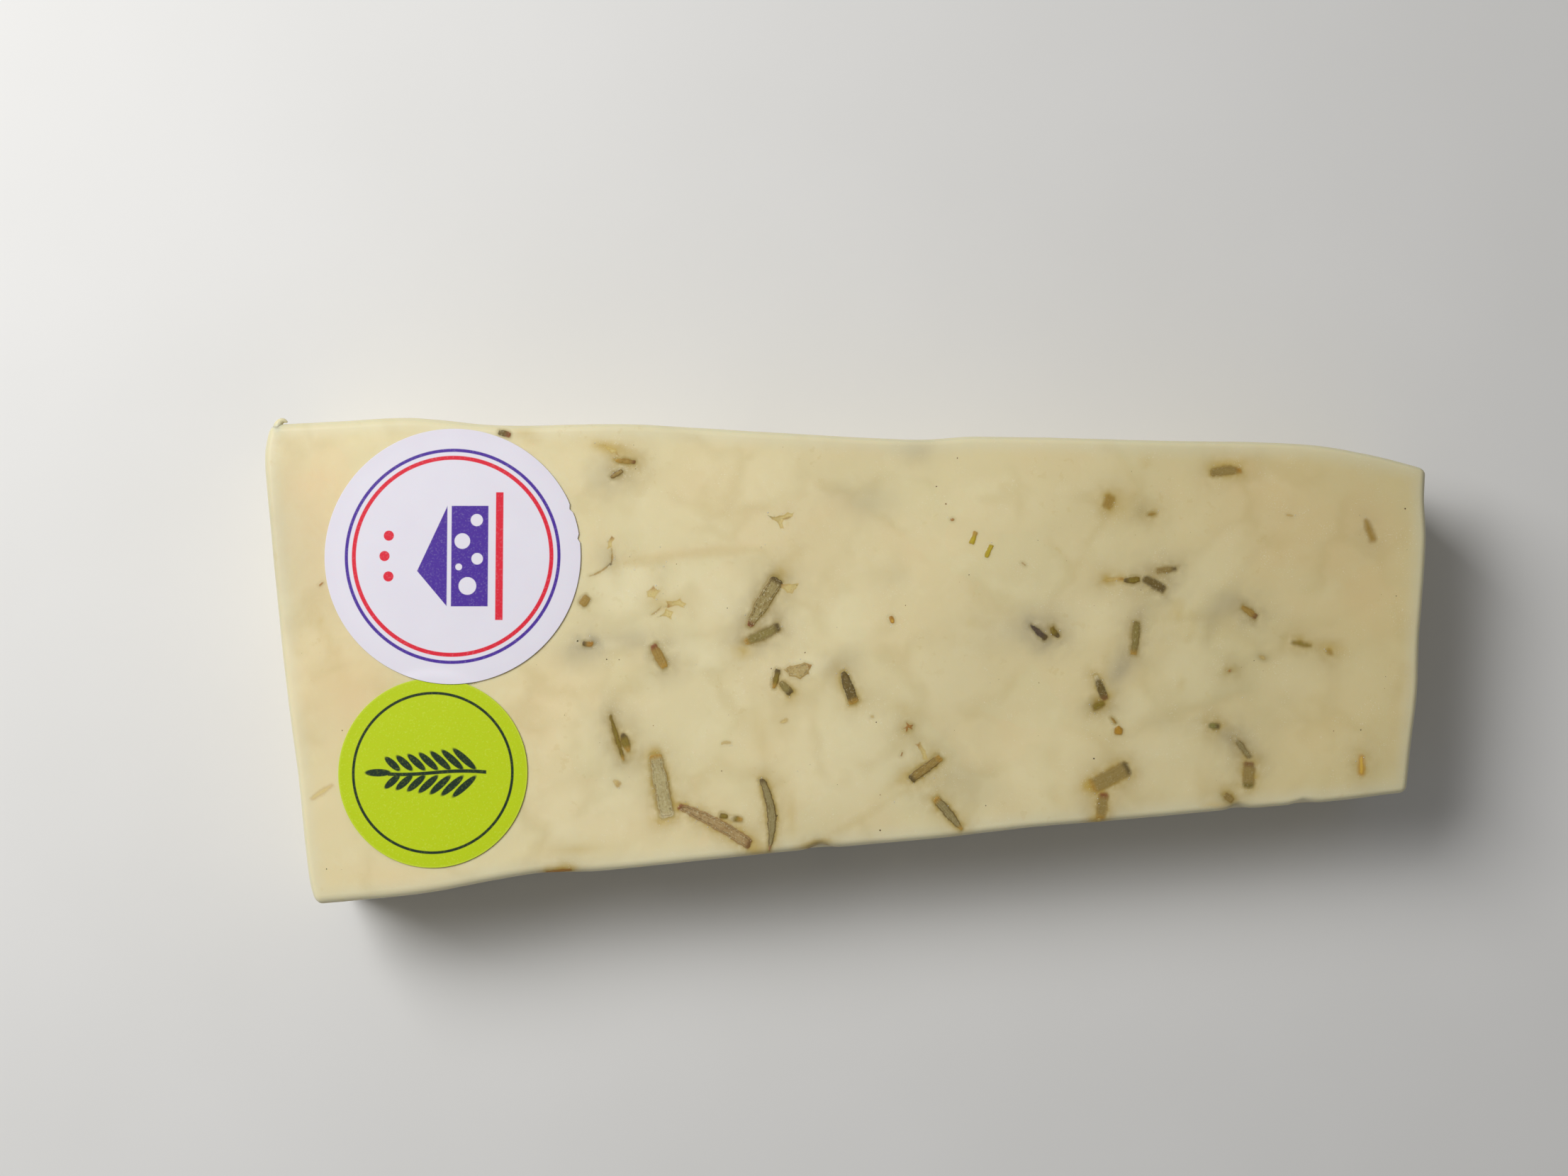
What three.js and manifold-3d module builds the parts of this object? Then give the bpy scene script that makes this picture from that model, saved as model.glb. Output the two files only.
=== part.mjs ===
// A cut of flavoured cheddar: one long tapering slab of pale cheese with garlic and rosemary
// through it, and two round paper labels stuck on its top face near the wide end.
// Millimetres. X runs from the wide end to the narrow end, Y runs across, and Z is up.
// The origin is under the middle of the slab, on the surface that it lies on.

import * as THREE from 'three';
import { mergeVertices } from 'three/addons/utils/BufferGeometryUtils.js';
import Module from 'manifold-3d';

// The slab: how thick it was cut, and how round its edges have been handled
const THICKNESS = 23;
const EDGE_RADIUS = 1.1;

// Its four corners, seen from above, on the lines that the knife followed
const CORNERS = {
  wideFront: [-77.3, -35.9],
  narrowFront: [82.0, -19.6],
  narrowBack: [85.8, 28.0],
  wideBack: [-84.9, 34.6],
};

// How far each cut strays out of the straight line between its two corners: the share of the
// way along the side, then the millimetres outwards
const FRONT_DRIFT = [
  [0, 0], [0.1, 0], [0.2, -1.2], [0.26, -0.6], [0.36, -0.6], [0.44, -0.6], [0.51, -0.4],
  [0.58, -0.3], [0.65, -0.5], [0.75, -0.2], [0.84, -0.1], [0.92, 0.2], [1, 0],
];
const NARROW_DRIFT = [
  [0, 0], [0.15, 0.3], [0.3, 0.7], [0.47, 0.5], [0.63, 0.7], [0.78, 0.7], [0.91, 0.1], [1, 0],
];
const BACK_DRIFT = [
  [0, 0], [0.05, 1.8], [0.11, 3], [0.23, 2.7], [0.39, 2.3], [0.44, 1.5], [0.56, 1.7],
  [0.69, 2.1], [0.8, 1.2], [0.88, 1.8], [0.94, 0.9], [1, 0],
];
const WIDE_DRIFT = [
  [0, 0], [0.06, 1.2], [0.2, 1.4], [0.38, 1.4], [0.57, 1.2], [0.7, 0.8], [0.95, 0.6], [1, 0],
];

// Small breaks in the top edge of the front cut: where along it, how deep and how wide
const FRONT_NICKS = [
  { share: 0.463, deep: 0.7, wide: 1.6 },
  { share: 0.845, deep: 0.5, wide: 1.2 },
  { share: 0.905, deep: 0.5, wide: 1.4 },
];
const NICK_REACH = 5;
const NICK_FADE = 0.08;

// The top face: a slow swell of two waves from the wire, in radians a millimetre along X and Y,
// and shallow hollows where the curd sank or tore
const SWELL = 0.16;
const FIRST_WAVE = { x: 0.07, y: 0.09, start: 0.9 };
const SECOND_WAVE = { x: 0.16, y: 0.13 };
const RELIEF_FROM = 0.7 * THICKNESS;
const HOLLOWS = [
  { at: [-22, 9], radius: 9, deep: 0.3 },
  { at: [24, -7], radius: 14, deep: 0.3 },
  { at: [61, 12], radius: 12, deep: 0.35 },
  { at: [4, 22], radius: 12, deep: 0.25 },
  { at: [66, -10], radius: 6, deep: 0.3 },
  { at: [-36, -27], radius: 8, deep: 0.2 },
];

// The labels: thin discs of sticky paper on a patch that lies flat. The white one went on last
// and its rim lies over the rim of the green one.
const LABEL_THICKNESS = 0.15;
const LABEL_SIDES = 56;
const GLUE_LINE = 0.06;
const WHITE_LABEL = { at: [-57.6, 15], radius: 18.8, layer: 1 };
const GREEN_LABEL = { at: [-60.2, -16.7], radius: 13.8, layer: 0 };
const FLAT_MARGIN = 1.5;
const FLAT_FADE = 9;

// Rosemary on the top face: the middle of each piece, its length and width, and its turn in
// degrees from X. A bow bends it sideways, in millimetres at its middle.
const TOP_ROSEMARY = [
  { at: [-12, 8.2], long: 8.1, wide: 2.1, turn: 59 },
  { at: [-12.2, 3.5], long: 5.6, wide: 1.5, turn: 25 },
  { at: [-10.1, -2.9], long: 2.9, wide: 0.9, turn: -104 },
  { at: [-8.6, -4.2], long: 2.4, wide: 1.2, turn: -47 },
  { at: [-7, -1.9], long: 4, wide: 2, turn: 8 },
  { at: [-33.2, -12], long: 6.2, wide: 0.8, turn: -72 },
  { at: [-32.1, -12.3], long: 2.2, wide: 1.2, turn: -72 },
  { at: [-26.9, -18.6], long: 9.4, wide: 2.3, turn: -79 },
  { at: [-19.1, -24.4], long: 12, wide: 1.7, turn: -28, bow: 0.4 },
  { at: [-16.5, -23], long: 2.7, wide: 1, turn: -8 },
  { at: [-11.7, -22.8], long: 10.6, wide: 1.4, turn: -84, bow: 0.9 },
  { at: [-27.3, 0.3], long: 3.8, wide: 1.4, turn: -61 },
  { at: [-37.8, 2.1], long: 1.6, wide: 0.8, turn: -4 },
  { at: [-38.2, 8.4], long: 1.6, wide: 1.2, turn: 51 },
  { at: [-32.3, 29], long: 3, wide: 0.8, turn: -5 },
  { at: [-33.6, 27.1], long: 2, wide: 0.8, turn: 30 },
  { at: [0.5, -4.3], long: 4.9, wide: 1.5, turn: -70 },
  { at: [11.7, -16.1], long: 5.6, wide: 1.3, turn: 37 },
  { at: [15.1, -22.7], long: 6.1, wide: 1.3, turn: -50 },
  { at: [18.9, 17.7], long: 1.9, wide: 0.8, turn: 69 },
  { at: [21.1, 15.7], long: 2.1, wide: 0.8, turn: 67 },
  { at: [28.4, 3.8], long: 3, wide: 1, turn: -41 },
  { at: [30.8, 3.9], long: 1.8, wide: 0.9, turn: -55 },
  { at: [38.8, 23.1], long: 1.9, wide: 1.3, turn: 70 },
  { at: [56.1, 27.3], long: 4.6, wide: 1.3, turn: 4 },
  { at: [42.1, 11.5], long: 2.4, wide: 0.9, turn: 5 },
  { at: [45.4, 10.9], long: 3.6, wide: 1.4, turn: -30 },
  { at: [47.2, 13], long: 2.9, wide: 0.9, turn: 8 },
  { at: [59.3, 6.8], long: 2.8, wide: 0.9, turn: -35 },
  { at: [77.1, 18.8], long: 3.4, wide: 1.1, turn: -72 },
  { at: [42.5, 2.9], long: 4.9, wide: 1.2, turn: 83 },
  { at: [37.4, -4.3], long: 3.8, wide: 1.1, turn: -68 },
  { at: [54, -9.9], long: 1.6, wide: 1, turn: -4 },
  { at: [58, -13], long: 3.8, wide: 0.8, turn: -52 },
  { at: [58.9, -17], long: 3.8, wide: 1.7, turn: 85 },
  { at: [38.6, -17.4], long: 6.3, wide: 2.2, turn: 28 },
  { at: [37.4, -21.6], long: 4, wide: 1.4, turn: -99 },
  { at: [75.3, -15.6], long: 2.7, wide: 0.9, turn: 89 },
  { at: [-50.1, 33.3], long: 1.5, wide: 0.8, turn: -17 },
];
const ROSEMARY_HEIGHT = 0.6;
const ROSEMARY_RINGS = { shares: [0.08, 0.5, 0.92], widths: [0.38, 0.5, 0.38], sides: 6 };

// Rosemary cut through at the sides, spread by steps that never line up with each other. The
// heights are shares of the slab's thickness, and a longer piece is wider.
const SIDE_ROSEMARY = { front: 7, back: 6, narrow: 2, wide: 3 };
const SIDE_STEP = 0.618034;
const HEIGHT_STEP = 0.754878;
const TURN_STEP = 137.5;
const SIDE_LENGTHS = [7.5, 3.2, 5.4, 2.4, 6.3];
const SIDE_WIDTH = { least: 0.9, byLength: 0.12 };
const SIDE_MARGIN = 0.08;
const SIDE_HEIGHTS = { lowest: 0.14, spread: 0.7 };
const SIDE_LEAN = 0.7;

// The burr of cheese that the knife drew out and curled over at the back corner of the wide end
const BURR = {
  path: [[-83.9, 33.4], [-83.9, 34.6], [-83.4, 35.2], [-82.8, 35.4], [-82.3, 35.1]],
  shares: [0.1, 0.45, 0.7, 0.92],
  widths: [1, 0.55, 0.35, 0.25],
  sides: 8,
  below: 1,
};

// Grid lines of the slab along X, Y and Z, the first and last few of them on the round edges
const GRID = { x: 52, y: 18, z: 7 };
const ROUND_STEPS = [0, 0.586, 1];

// Points nearer to each other than this are one point, and a cut's run is found from two
// points this share of its length apart
const SAME_POINT = 1e-5;
const RUN_SHARE = 0.01;

const wasm = await Module();
wasm.setup();

// A smooth curve through knots of [where, how much]
function glide(knots, where) {
  let k = 0;
  while (k < knots.length - 2 && where > knots[k + 1][0]) {
    k += 1;
  }
  const slope = (i) => {
    const before = knots[Math.max(i - 1, 0)];
    const after = knots[Math.min(i + 1, knots.length - 1)];
    return (after[1] - before[1]) / (after[0] - before[0]);
  };
  const [start, low] = knots[k];
  const [stop, high] = knots[k + 1];
  const span = stop - start;
  const t = (where - start) / span;
  const value = low * (1 + 2 * t) * (1 - t) ** 2 + high * t * t * (3 - 2 * t);
  return value + span * t * (1 - t) * (slope(k) * (1 - t) - slope(k + 1) * t);
}

function smoothStep(low, high, value) {
  const t = Math.min(Math.max((value - low) / (high - low), 0), 1);
  return t * t * (3 - 2 * t);
}

// A point on one cut, a share of the way from one corner to the other
function cutPoint(from, to, drift, share) {
  const along = [to[0] - from[0], to[1] - from[1]];
  const length = Math.hypot(...along);
  const out = [along[1] / length, -along[0] / length];
  const stray = glide(drift, share);
  return [from[0] + along[0] * share + out[0] * stray, from[1] + along[1] * share + out[1] * stray];
}

const frontCut = (s) => cutPoint(CORNERS.wideFront, CORNERS.narrowFront, FRONT_DRIFT, s);
const narrowCut = (t) => cutPoint(CORNERS.narrowFront, CORNERS.narrowBack, NARROW_DRIFT, t);
const backCut = (s) => cutPoint(CORNERS.narrowBack, CORNERS.wideBack, BACK_DRIFT, 1 - s);
const wideCut = (t) => cutPoint(CORNERS.wideBack, CORNERS.wideFront, WIDE_DRIFT, 1 - t);

// A point of the slab seen from above, from its share s along and its share t across: the four
// cuts are blended, and the corners that they share are taken off again
function planPoint(s, t) {
  const [front, back, wide, narrow] = [frontCut(s), backCut(s), wideCut(t), narrowCut(t)];
  const point = [0, 0];
  for (const axis of [0, 1]) {
    const atWideEnd = (1 - t) * CORNERS.wideFront[axis] + t * CORNERS.wideBack[axis];
    const atNarrowEnd = (1 - t) * CORNERS.narrowFront[axis] + t * CORNERS.narrowBack[axis];
    const lengthways = (1 - t) * front[axis] + t * back[axis];
    const crossways = (1 - s) * wide[axis] + s * narrow[axis];
    point[axis] = lengthways + crossways - (1 - s) * atWideEnd - s * atNarrowEnd;
  }
  return point;
}

// How far the top face is from its mean level, none of it under the labels
function relief(x, y) {
  const first = Math.sin(FIRST_WAVE.x * x + FIRST_WAVE.start) * Math.cos(FIRST_WAVE.y * y);
  const second = Math.sin(SECOND_WAVE.x * x - SECOND_WAVE.y * y);
  let height = SWELL * (first + second);
  for (const { at, radius, deep } of HOLLOWS) {
    const distance = Math.hypot(x - at[0], y - at[1]) / radius;
    height -= deep * Math.exp(-distance * distance);
  }
  for (const { at, radius } of [WHITE_LABEL, GREEN_LABEL]) {
    const outside = Math.hypot(x - at[0], y - at[1]) - radius - FLAT_MARGIN;
    height *= smoothStep(0, FLAT_FADE, outside);
  }
  return height;
}

// How far the small breaks reach in from the front cut, near the top edge
function nickDepth(s, t, z) {
  const frontLength = CORNERS.narrowFront[0] - CORNERS.wideFront[0];
  const fade = smoothStep(THICKNESS - NICK_REACH, THICKNESS, z) * smoothStep(NICK_FADE, 0, t);
  let depth = 0;
  for (const { share, deep, wide } of FRONT_NICKS) {
    const off = ((s - share) * frontLength) / wide;
    depth += deep * Math.exp(-off * off);
  }
  return depth * fade;
}

// Where a grid line lies: the first two and last two steps follow the round edge
function gridLine(step, steps, size) {
  const rounds = ROUND_STEPS.length - 1;
  if (step <= rounds) {
    return ROUND_STEPS[step] * EDGE_RADIUS;
  }
  if (step >= steps - rounds) {
    return size - ROUND_STEPS[steps - step] * EDGE_RADIUS;
  }
  const flat = size - 2 * EDGE_RADIUS;
  return EDGE_RADIUS + (flat * (step - rounds)) / (steps - 2 * rounds);
}

function bareGeometry(geometry) {
  geometry.deleteAttribute('normal');
  geometry.deleteAttribute('uv');
  return mergeVertices(geometry, SAME_POINT);
}

// The slab starts as a box. Its edges are rounded, and then it is bent to the plan and relief.
function slabGeometry() {
  const length = CORNERS.narrowBack[0] - CORNERS.wideBack[0];
  const wideEnd = CORNERS.wideBack[1] - CORNERS.wideFront[1];
  const narrowEnd = CORNERS.narrowBack[1] - CORNERS.narrowFront[1];
  const width = (wideEnd + narrowEnd) / 2;
  const sizes = [length, width, THICKNESS];
  const steps = [GRID.x, GRID.y, GRID.z];
  const geometry = bareGeometry(new THREE.BoxGeometry(...steps, ...steps));
  const position = geometry.attributes.position;
  for (let i = 0; i < position.count; i += 1) {
    const raw = [position.getX(i), position.getY(i), position.getZ(i)];
    const step = raw.map((value, axis) => Math.round(value + steps[axis] / 2));
    const point = step.map((value, axis) => gridLine(value, steps[axis], sizes[axis]));
    const core = point.map((value, axis) => {
      return THREE.MathUtils.clamp(value, EDGE_RADIUS, sizes[axis] - EDGE_RADIUS);
    });
    const out = new THREE.Vector3(...point).sub(new THREE.Vector3(...core));
    if (out.length() > EDGE_RADIUS) {
      out.setLength(EDGE_RADIUS);
    }
    const s = (core[0] + out.x) / length;
    const t = (core[1] + out.y) / width;
    const z = core[2] + out.z;
    const [x, y] = planPoint(s, t);
    const nearTop = smoothStep(RELIEF_FROM, THICKNESS, z);
    position.setXYZ(i, x, y + nickDepth(s, t, z), z + relief(x, y) * nearTop);
  }
  return geometry;
}

// A closed sliver along a path, with an oval section and a short point at each end. widths are
// half widths at the rings' shares of the way, and flatten is the section's height by its width.
function sliverGeometry(path, { shares, widths, sides }, flatten, up) {
  const curve = new THREE.CatmullRomCurve3(path);
  const points = [curve.getPoint(0)];
  shares.forEach((share, ring) => {
    const across = curve.getTangent(share).cross(up).normalize();
    for (let side = 0; side < sides; side += 1) {
      const angle = (2 * Math.PI * side) / sides;
      const point = curve.getPoint(share).addScaledVector(across, widths[ring] * Math.cos(angle));
      points.push(point.addScaledVector(up, widths[ring] * flatten * Math.sin(angle)));
    }
  });
  points.push(curve.getPoint(1));
  const last = points.length - 1;
  const faces = [];
  for (let side = 0; side < sides; side += 1) {
    const next = (side + 1) % sides;
    faces.push(0, 1 + side, 1 + next);
    for (let ring = 0; ring < shares.length - 1; ring += 1) {
      const here = 1 + ring * sides;
      faces.push(here + side, here + sides + side, here + next);
      faces.push(here + next, here + sides + side, here + sides + next);
    }
    faces.push(last - sides + side, last, last - sides + next);
  }
  const geometry = new THREE.BufferGeometry();
  geometry.setAttribute('position', new THREE.Float32BufferAttribute(points.flatMap((p) => p.toArray()), 3));
  geometry.setIndex(faces);
  return geometry;
}

// One piece of rosemary, half sunk in a face of the slab
function rosemaryGeometry({ centre, along, up, long, wide, bow = 0 }) {
  const across = new THREE.Vector3().crossVectors(up, along);
  const path = [-0.5, -0.25, 0, 0.25, 0.5].map((share) => centre.clone()
    .addScaledVector(along, share * long)
    .addScaledVector(across, bow * (1 - 4 * share * share)));
  const rings = { ...ROSEMARY_RINGS, widths: ROSEMARY_RINGS.widths.map((half) => half * wide) };
  return sliverGeometry(path, rings, ROSEMARY_HEIGHT / wide, up);
}

function topRosemary() {
  const up = new THREE.Vector3(0, 0, 1);
  return TOP_ROSEMARY.map((piece) => {
    const turn = THREE.MathUtils.degToRad(piece.turn);
    const [x, y] = piece.at;
    const centre = new THREE.Vector3(x, y, THICKNESS + relief(x, y));
    const along = new THREE.Vector3(Math.cos(turn), Math.sin(turn), 0);
    return rosemaryGeometry({ ...piece, centre, along, up });
  });
}

// Rosemary on one upright cut: each next piece moves on by a fixed share of the side
function sideRosemary(cut, outward, count, first) {
  const pieces = [];
  for (let k = 0; k < count; k += 1) {
    const number = first + k;
    const share = SIDE_MARGIN + (1 - 2 * SIDE_MARGIN) * ((number * SIDE_STEP) % 1);
    const rise = SIDE_HEIGHTS.lowest + SIDE_HEIGHTS.spread * ((number * HEIGHT_STEP) % 1);
    const turn = THREE.MathUtils.degToRad(number * TURN_STEP);
    const here = cut(share);
    const ahead = cut(share + RUN_SHARE);
    const centre = new THREE.Vector3(here[0], here[1], THICKNESS * rise);
    const run = new THREE.Vector3(ahead[0] - here[0], ahead[1] - here[1], 0).normalize();
    const up = new THREE.Vector3(run.y, -run.x, 0).multiplyScalar(outward);
    const lean = new THREE.Vector3(0, 0, SIDE_LEAN * Math.sin(turn));
    const along = run.multiplyScalar(Math.cos(turn)).add(lean).normalize();
    const long = SIDE_LENGTHS[number % SIDE_LENGTHS.length];
    const wide = SIDE_WIDTH.least + SIDE_WIDTH.byLength * long;
    pieces.push(rosemaryGeometry({ centre, along, up, long, wide }));
  }
  return pieces;
}

function allSideRosemary() {
  const { front, back, narrow, wide } = SIDE_ROSEMARY;
  return [
    ...sideRosemary(frontCut, 1, front, 1),
    ...sideRosemary(backCut, -1, back, 1 + front),
    ...sideRosemary(narrowCut, 1, narrow, 1 + front + back),
    ...sideRosemary(wideCut, -1, wide, 1 + front + back + narrow),
  ];
}

function burrGeometry() {
  const path = BURR.path.map(([x, y]) => new THREE.Vector3(x, y, THICKNESS - BURR.below));
  return sliverGeometry(path, BURR, 1, new THREE.Vector3(0, 0, 1));
}

function solidOf(geometry) {
  const mesh = new wasm.Mesh({
    numProp: 3,
    vertProperties: new Float32Array(geometry.attributes.position.array),
    triVerts: new Uint32Array(geometry.index.array),
  });
  return new wasm.Manifold(mesh);
}

function cheeseGeometry() {
  let solid = solidOf(slabGeometry());
  for (const extra of [burrGeometry(), ...topRosemary(), ...allSideRosemary()]) {
    solid = solid.add(solidOf(extra));
  }
  const { vertProperties, triVerts } = solid.getMesh();
  const geometry = new THREE.BufferGeometry();
  geometry.setAttribute('position', new THREE.Float32BufferAttribute(vertProperties, 3));
  geometry.setIndex(Array.from(triVerts));
  geometry.computeVertexNormals();
  return geometry;
}

const cheeseFinish = new THREE.MeshStandardMaterial({ color: 0xe0d4a8, roughness: 0.45, metalness: 0 });
const whiteFinish = new THREE.MeshStandardMaterial({ color: 0xe6e3ea, roughness: 0.5, metalness: 0 });
const greenFinish = new THREE.MeshStandardMaterial({ color: 0xb9cf28, roughness: 0.5, metalness: 0 });

// A label is a very short upright cylinder. Each layer lies on top of the one below it.
function label(name, { at, radius, layer }, finish) {
  const geometry = new THREE.CylinderGeometry(radius, radius, LABEL_THICKNESS, LABEL_SIDES);
  const mesh = new THREE.Mesh(geometry, finish);
  mesh.name = name;
  mesh.rotation.x = Math.PI / 2;
  const underside = THICKNESS + GLUE_LINE + layer * (LABEL_THICKNESS + GLUE_LINE);
  mesh.position.set(at[0], at[1], underside + LABEL_THICKNESS / 2);
  return mesh;
}

const part = new THREE.Group();
const cheese = new THREE.Mesh(cheeseGeometry(), cheeseFinish);
cheese.name = 'cheese';
part.add(cheese);
part.add(label('white_label', WHITE_LABEL, whiteFinish));
part.add(label('green_label', GREEN_LABEL, greenFinish));

export default part;
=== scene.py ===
# %% [markdown]
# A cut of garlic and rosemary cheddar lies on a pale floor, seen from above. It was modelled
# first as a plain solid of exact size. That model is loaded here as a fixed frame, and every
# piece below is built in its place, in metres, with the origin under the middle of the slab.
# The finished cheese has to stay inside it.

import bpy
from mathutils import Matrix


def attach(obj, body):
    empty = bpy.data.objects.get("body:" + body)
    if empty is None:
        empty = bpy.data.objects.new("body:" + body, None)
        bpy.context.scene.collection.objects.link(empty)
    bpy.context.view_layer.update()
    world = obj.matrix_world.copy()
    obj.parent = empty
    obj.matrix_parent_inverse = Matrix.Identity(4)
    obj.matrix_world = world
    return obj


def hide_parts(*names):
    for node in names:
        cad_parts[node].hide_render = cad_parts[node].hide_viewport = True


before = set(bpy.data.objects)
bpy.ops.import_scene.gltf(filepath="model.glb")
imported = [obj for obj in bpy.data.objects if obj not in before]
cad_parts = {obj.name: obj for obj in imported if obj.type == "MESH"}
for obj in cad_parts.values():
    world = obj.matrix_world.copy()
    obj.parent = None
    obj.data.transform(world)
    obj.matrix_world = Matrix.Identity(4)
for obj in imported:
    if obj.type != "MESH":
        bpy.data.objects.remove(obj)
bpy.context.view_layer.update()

# %% [markdown]
# Cheese is easiest to think about in millimetres, while Blender works in metres. All sizes
# below are millimetres, and one function turns a finished list of points into a mesh in
# metres. Random draws come from one generator with a fixed seed, so that the cheese is the
# same each time the file is run.

# %% Units, random draws and colours
import math

import bmesh
import bpy
import numpy as np
from mathutils import Vector, noise

MM = 0.001
UP = np.array([0.0, 0.0, 1.0])
draws = np.random.default_rng(20)


def colour(red, green, blue):
    """A colour as it looks on a screen, 0 to 255, turned into the light that it reflects.

    The numbers in it are those of the screen's standard curve.
    """
    parts = [v / 255 for v in (red, green, blue)]
    return tuple(v / 12.92 if v <= 0.04045 else ((v + 0.055) / 1.055) ** 2.4 for v in parts)


def smooth_step(low, high, value):
    t = np.clip((value - low) / (high - low), 0, 1)
    return t * t * (3 - 2 * t)


def lumps(points, size):
    """Soft noise, about -1 to 1, with lumps of this size across."""
    return np.array([noise.noise(p) for p in points / size])


def mixed_lumps(points, sizes):
    """Lumps of several sizes on top of each other, from rows of (size, height)."""
    return sum(height * lumps(points, size) for size, height in sizes)


print("a step of 0 to 1 at its middle:", smooth_step(0, 1, 0.5))

# %% [markdown]
# The slab was cut with a knife or a wire, so seen from above it is four nearly straight cuts
# that drift a little. One could draw the outline as a long curve, but a cut is simpler to
# read as a straight line between two corners with a short list of drifts. The same corners
# and drifts made the solid, so both have the same outline.

# %% The four cuts, seen from above
THICKNESS = 23.0
EDGE_RADIUS = 1.1
WIDE_FRONT, NARROW_FRONT = np.array([-77.3, -35.9]), np.array([82.0, -19.6])
NARROW_BACK, WIDE_BACK = np.array([85.8, 28.0]), np.array([-84.9, 34.6])
FRONT_DRIFT = [
    (0, 0), (0.1, 0), (0.2, -1.2), (0.26, -0.6), (0.36, -0.6), (0.44, -0.6), (0.51, -0.4),
    (0.58, -0.3), (0.65, -0.5), (0.75, -0.2), (0.84, -0.1), (0.92, 0.2), (1, 0),
]
NARROW_DRIFT = [
    (0, 0), (0.15, 0.3), (0.3, 0.7), (0.47, 0.5), (0.63, 0.7), (0.78, 0.7), (0.91, 0.1), (1, 0),
]
BACK_DRIFT = [
    (0, 0), (0.05, 1.8), (0.11, 3), (0.23, 2.7), (0.39, 2.3), (0.44, 1.5), (0.56, 1.7),
    (0.69, 2.1), (0.8, 1.2), (0.88, 1.8), (0.94, 0.9), (1, 0),
]
WIDE_DRIFT = [
    (0, 0), (0.06, 1.2), (0.2, 1.4), (0.38, 1.4), (0.57, 1.2), (0.7, 0.8), (0.95, 0.6), (1, 0),
]


def glide(knots, where):
    """A smooth curve through knots of (where, how much)."""
    spots, values = np.array(knots, float).T
    number, last = np.arange(len(spots)), len(spots) - 1
    before, after = np.maximum(number - 1, 0), np.minimum(number + 1, last)
    slopes = (values[after] - values[before]) / (spots[after] - spots[before])
    k = np.clip(np.searchsorted(spots, where) - 1, 0, last - 1)
    span = spots[k + 1] - spots[k]
    t = (where - spots[k]) / span
    level = values[k] * (1 + 2 * t) * (1 - t) ** 2 + values[k + 1] * t * t * (3 - 2 * t)
    return level + span * t * (1 - t) * (slopes[k] * (1 - t) - slopes[k + 1] * t)


def cut_point(start, stop, drift, share):
    """Points on one cut, at shares of the way from one corner to the other."""
    share = np.asarray(share, float)
    along = stop - start
    out = np.array([along[1], -along[0]]) / np.hypot(*along)
    return start + share[..., None] * along + glide(drift, share)[..., None] * out


def front_cut(s):
    return cut_point(WIDE_FRONT, NARROW_FRONT, FRONT_DRIFT, s)


def narrow_cut(t):
    return cut_point(NARROW_FRONT, NARROW_BACK, NARROW_DRIFT, t)


def back_cut(s):
    return cut_point(NARROW_BACK, WIDE_BACK, BACK_DRIFT, 1 - np.asarray(s, float))


def wide_cut(t):
    return cut_point(WIDE_BACK, WIDE_FRONT, WIDE_DRIFT, 1 - np.asarray(t, float))


def plan_point(s, t):
    """Points of the slab seen from above, from shares s along it and t across it."""
    ss, tt = s[:, None], t[:, None]
    corners = (1 - ss) * (1 - tt) * WIDE_FRONT + ss * (1 - tt) * NARROW_FRONT
    corners = corners + (1 - ss) * tt * WIDE_BACK + ss * tt * NARROW_BACK
    cuts = (1 - tt) * front_cut(s) + tt * back_cut(s) + (1 - ss) * wide_cut(t) + ss * narrow_cut(t)
    return cuts - corners


print("front cut at its middle:", front_cut(0.5).round(2))

# %% [markdown]
# The top face isn't a plane. The wire left a slow swell, the curd sank in a few shallow
# hollows, and a wet skin of cheese lies over fine lumps. Under the two paper labels it was
# pressed flat. The slow shapes are the solid's own, and the fine ones are only made here.

# %% The relief of the top face
SWELL = 0.16
# The waves of the swell, in radians for each millimetre along and across
LONG_WAVE, CROSS_WAVE, SLANT_WAVE = 0.07, 0.09, (0.16, 0.13)
WAVE_START = 0.9
# Each hollow: its x, y, radius and depth
HOLLOWS = [
    (-22, 9, 9, 0.3), (24, -7, 14, 0.3), (61, 12, 12, 0.35),
    (4, 22, 12, 0.25), (66, -10, 6, 0.3), (-36, -27, 8, 0.2),
]
WHITE_LABEL = {"at": (-57.6, 15.0), "radius": 18.8}
GREEN_LABEL = {"at": (-60.2, -16.7), "radius": 13.8}
FLAT_MARGIN = 1.5
FLAT_FADE = 9


def outside_label(x, y, label):
    """How far places on the top face are from a label's rim, negative under the label."""
    return np.hypot(x - label["at"][0], y - label["at"][1]) - label["radius"]


def relief(x, y):
    """How far the top face is from its mean level."""
    level_waves = np.sin(LONG_WAVE * x + WAVE_START) * np.cos(CROSS_WAVE * y)
    height = SWELL * (level_waves + np.sin(SLANT_WAVE[0] * x - SLANT_WAVE[1] * y))
    for at_x, at_y, radius, deep in HOLLOWS:
        height = height - deep * np.exp(-((x - at_x) ** 2 + (y - at_y) ** 2) / radius**2)
    for label in (WHITE_LABEL, GREEN_LABEL):
        height = height * smooth_step(0, FLAT_FADE, outside_label(x, y, label) - FLAT_MARGIN)
    return height


print("relief in the middle hollow:", round(float(relief(24.0, -7.0)), 3))
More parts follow.
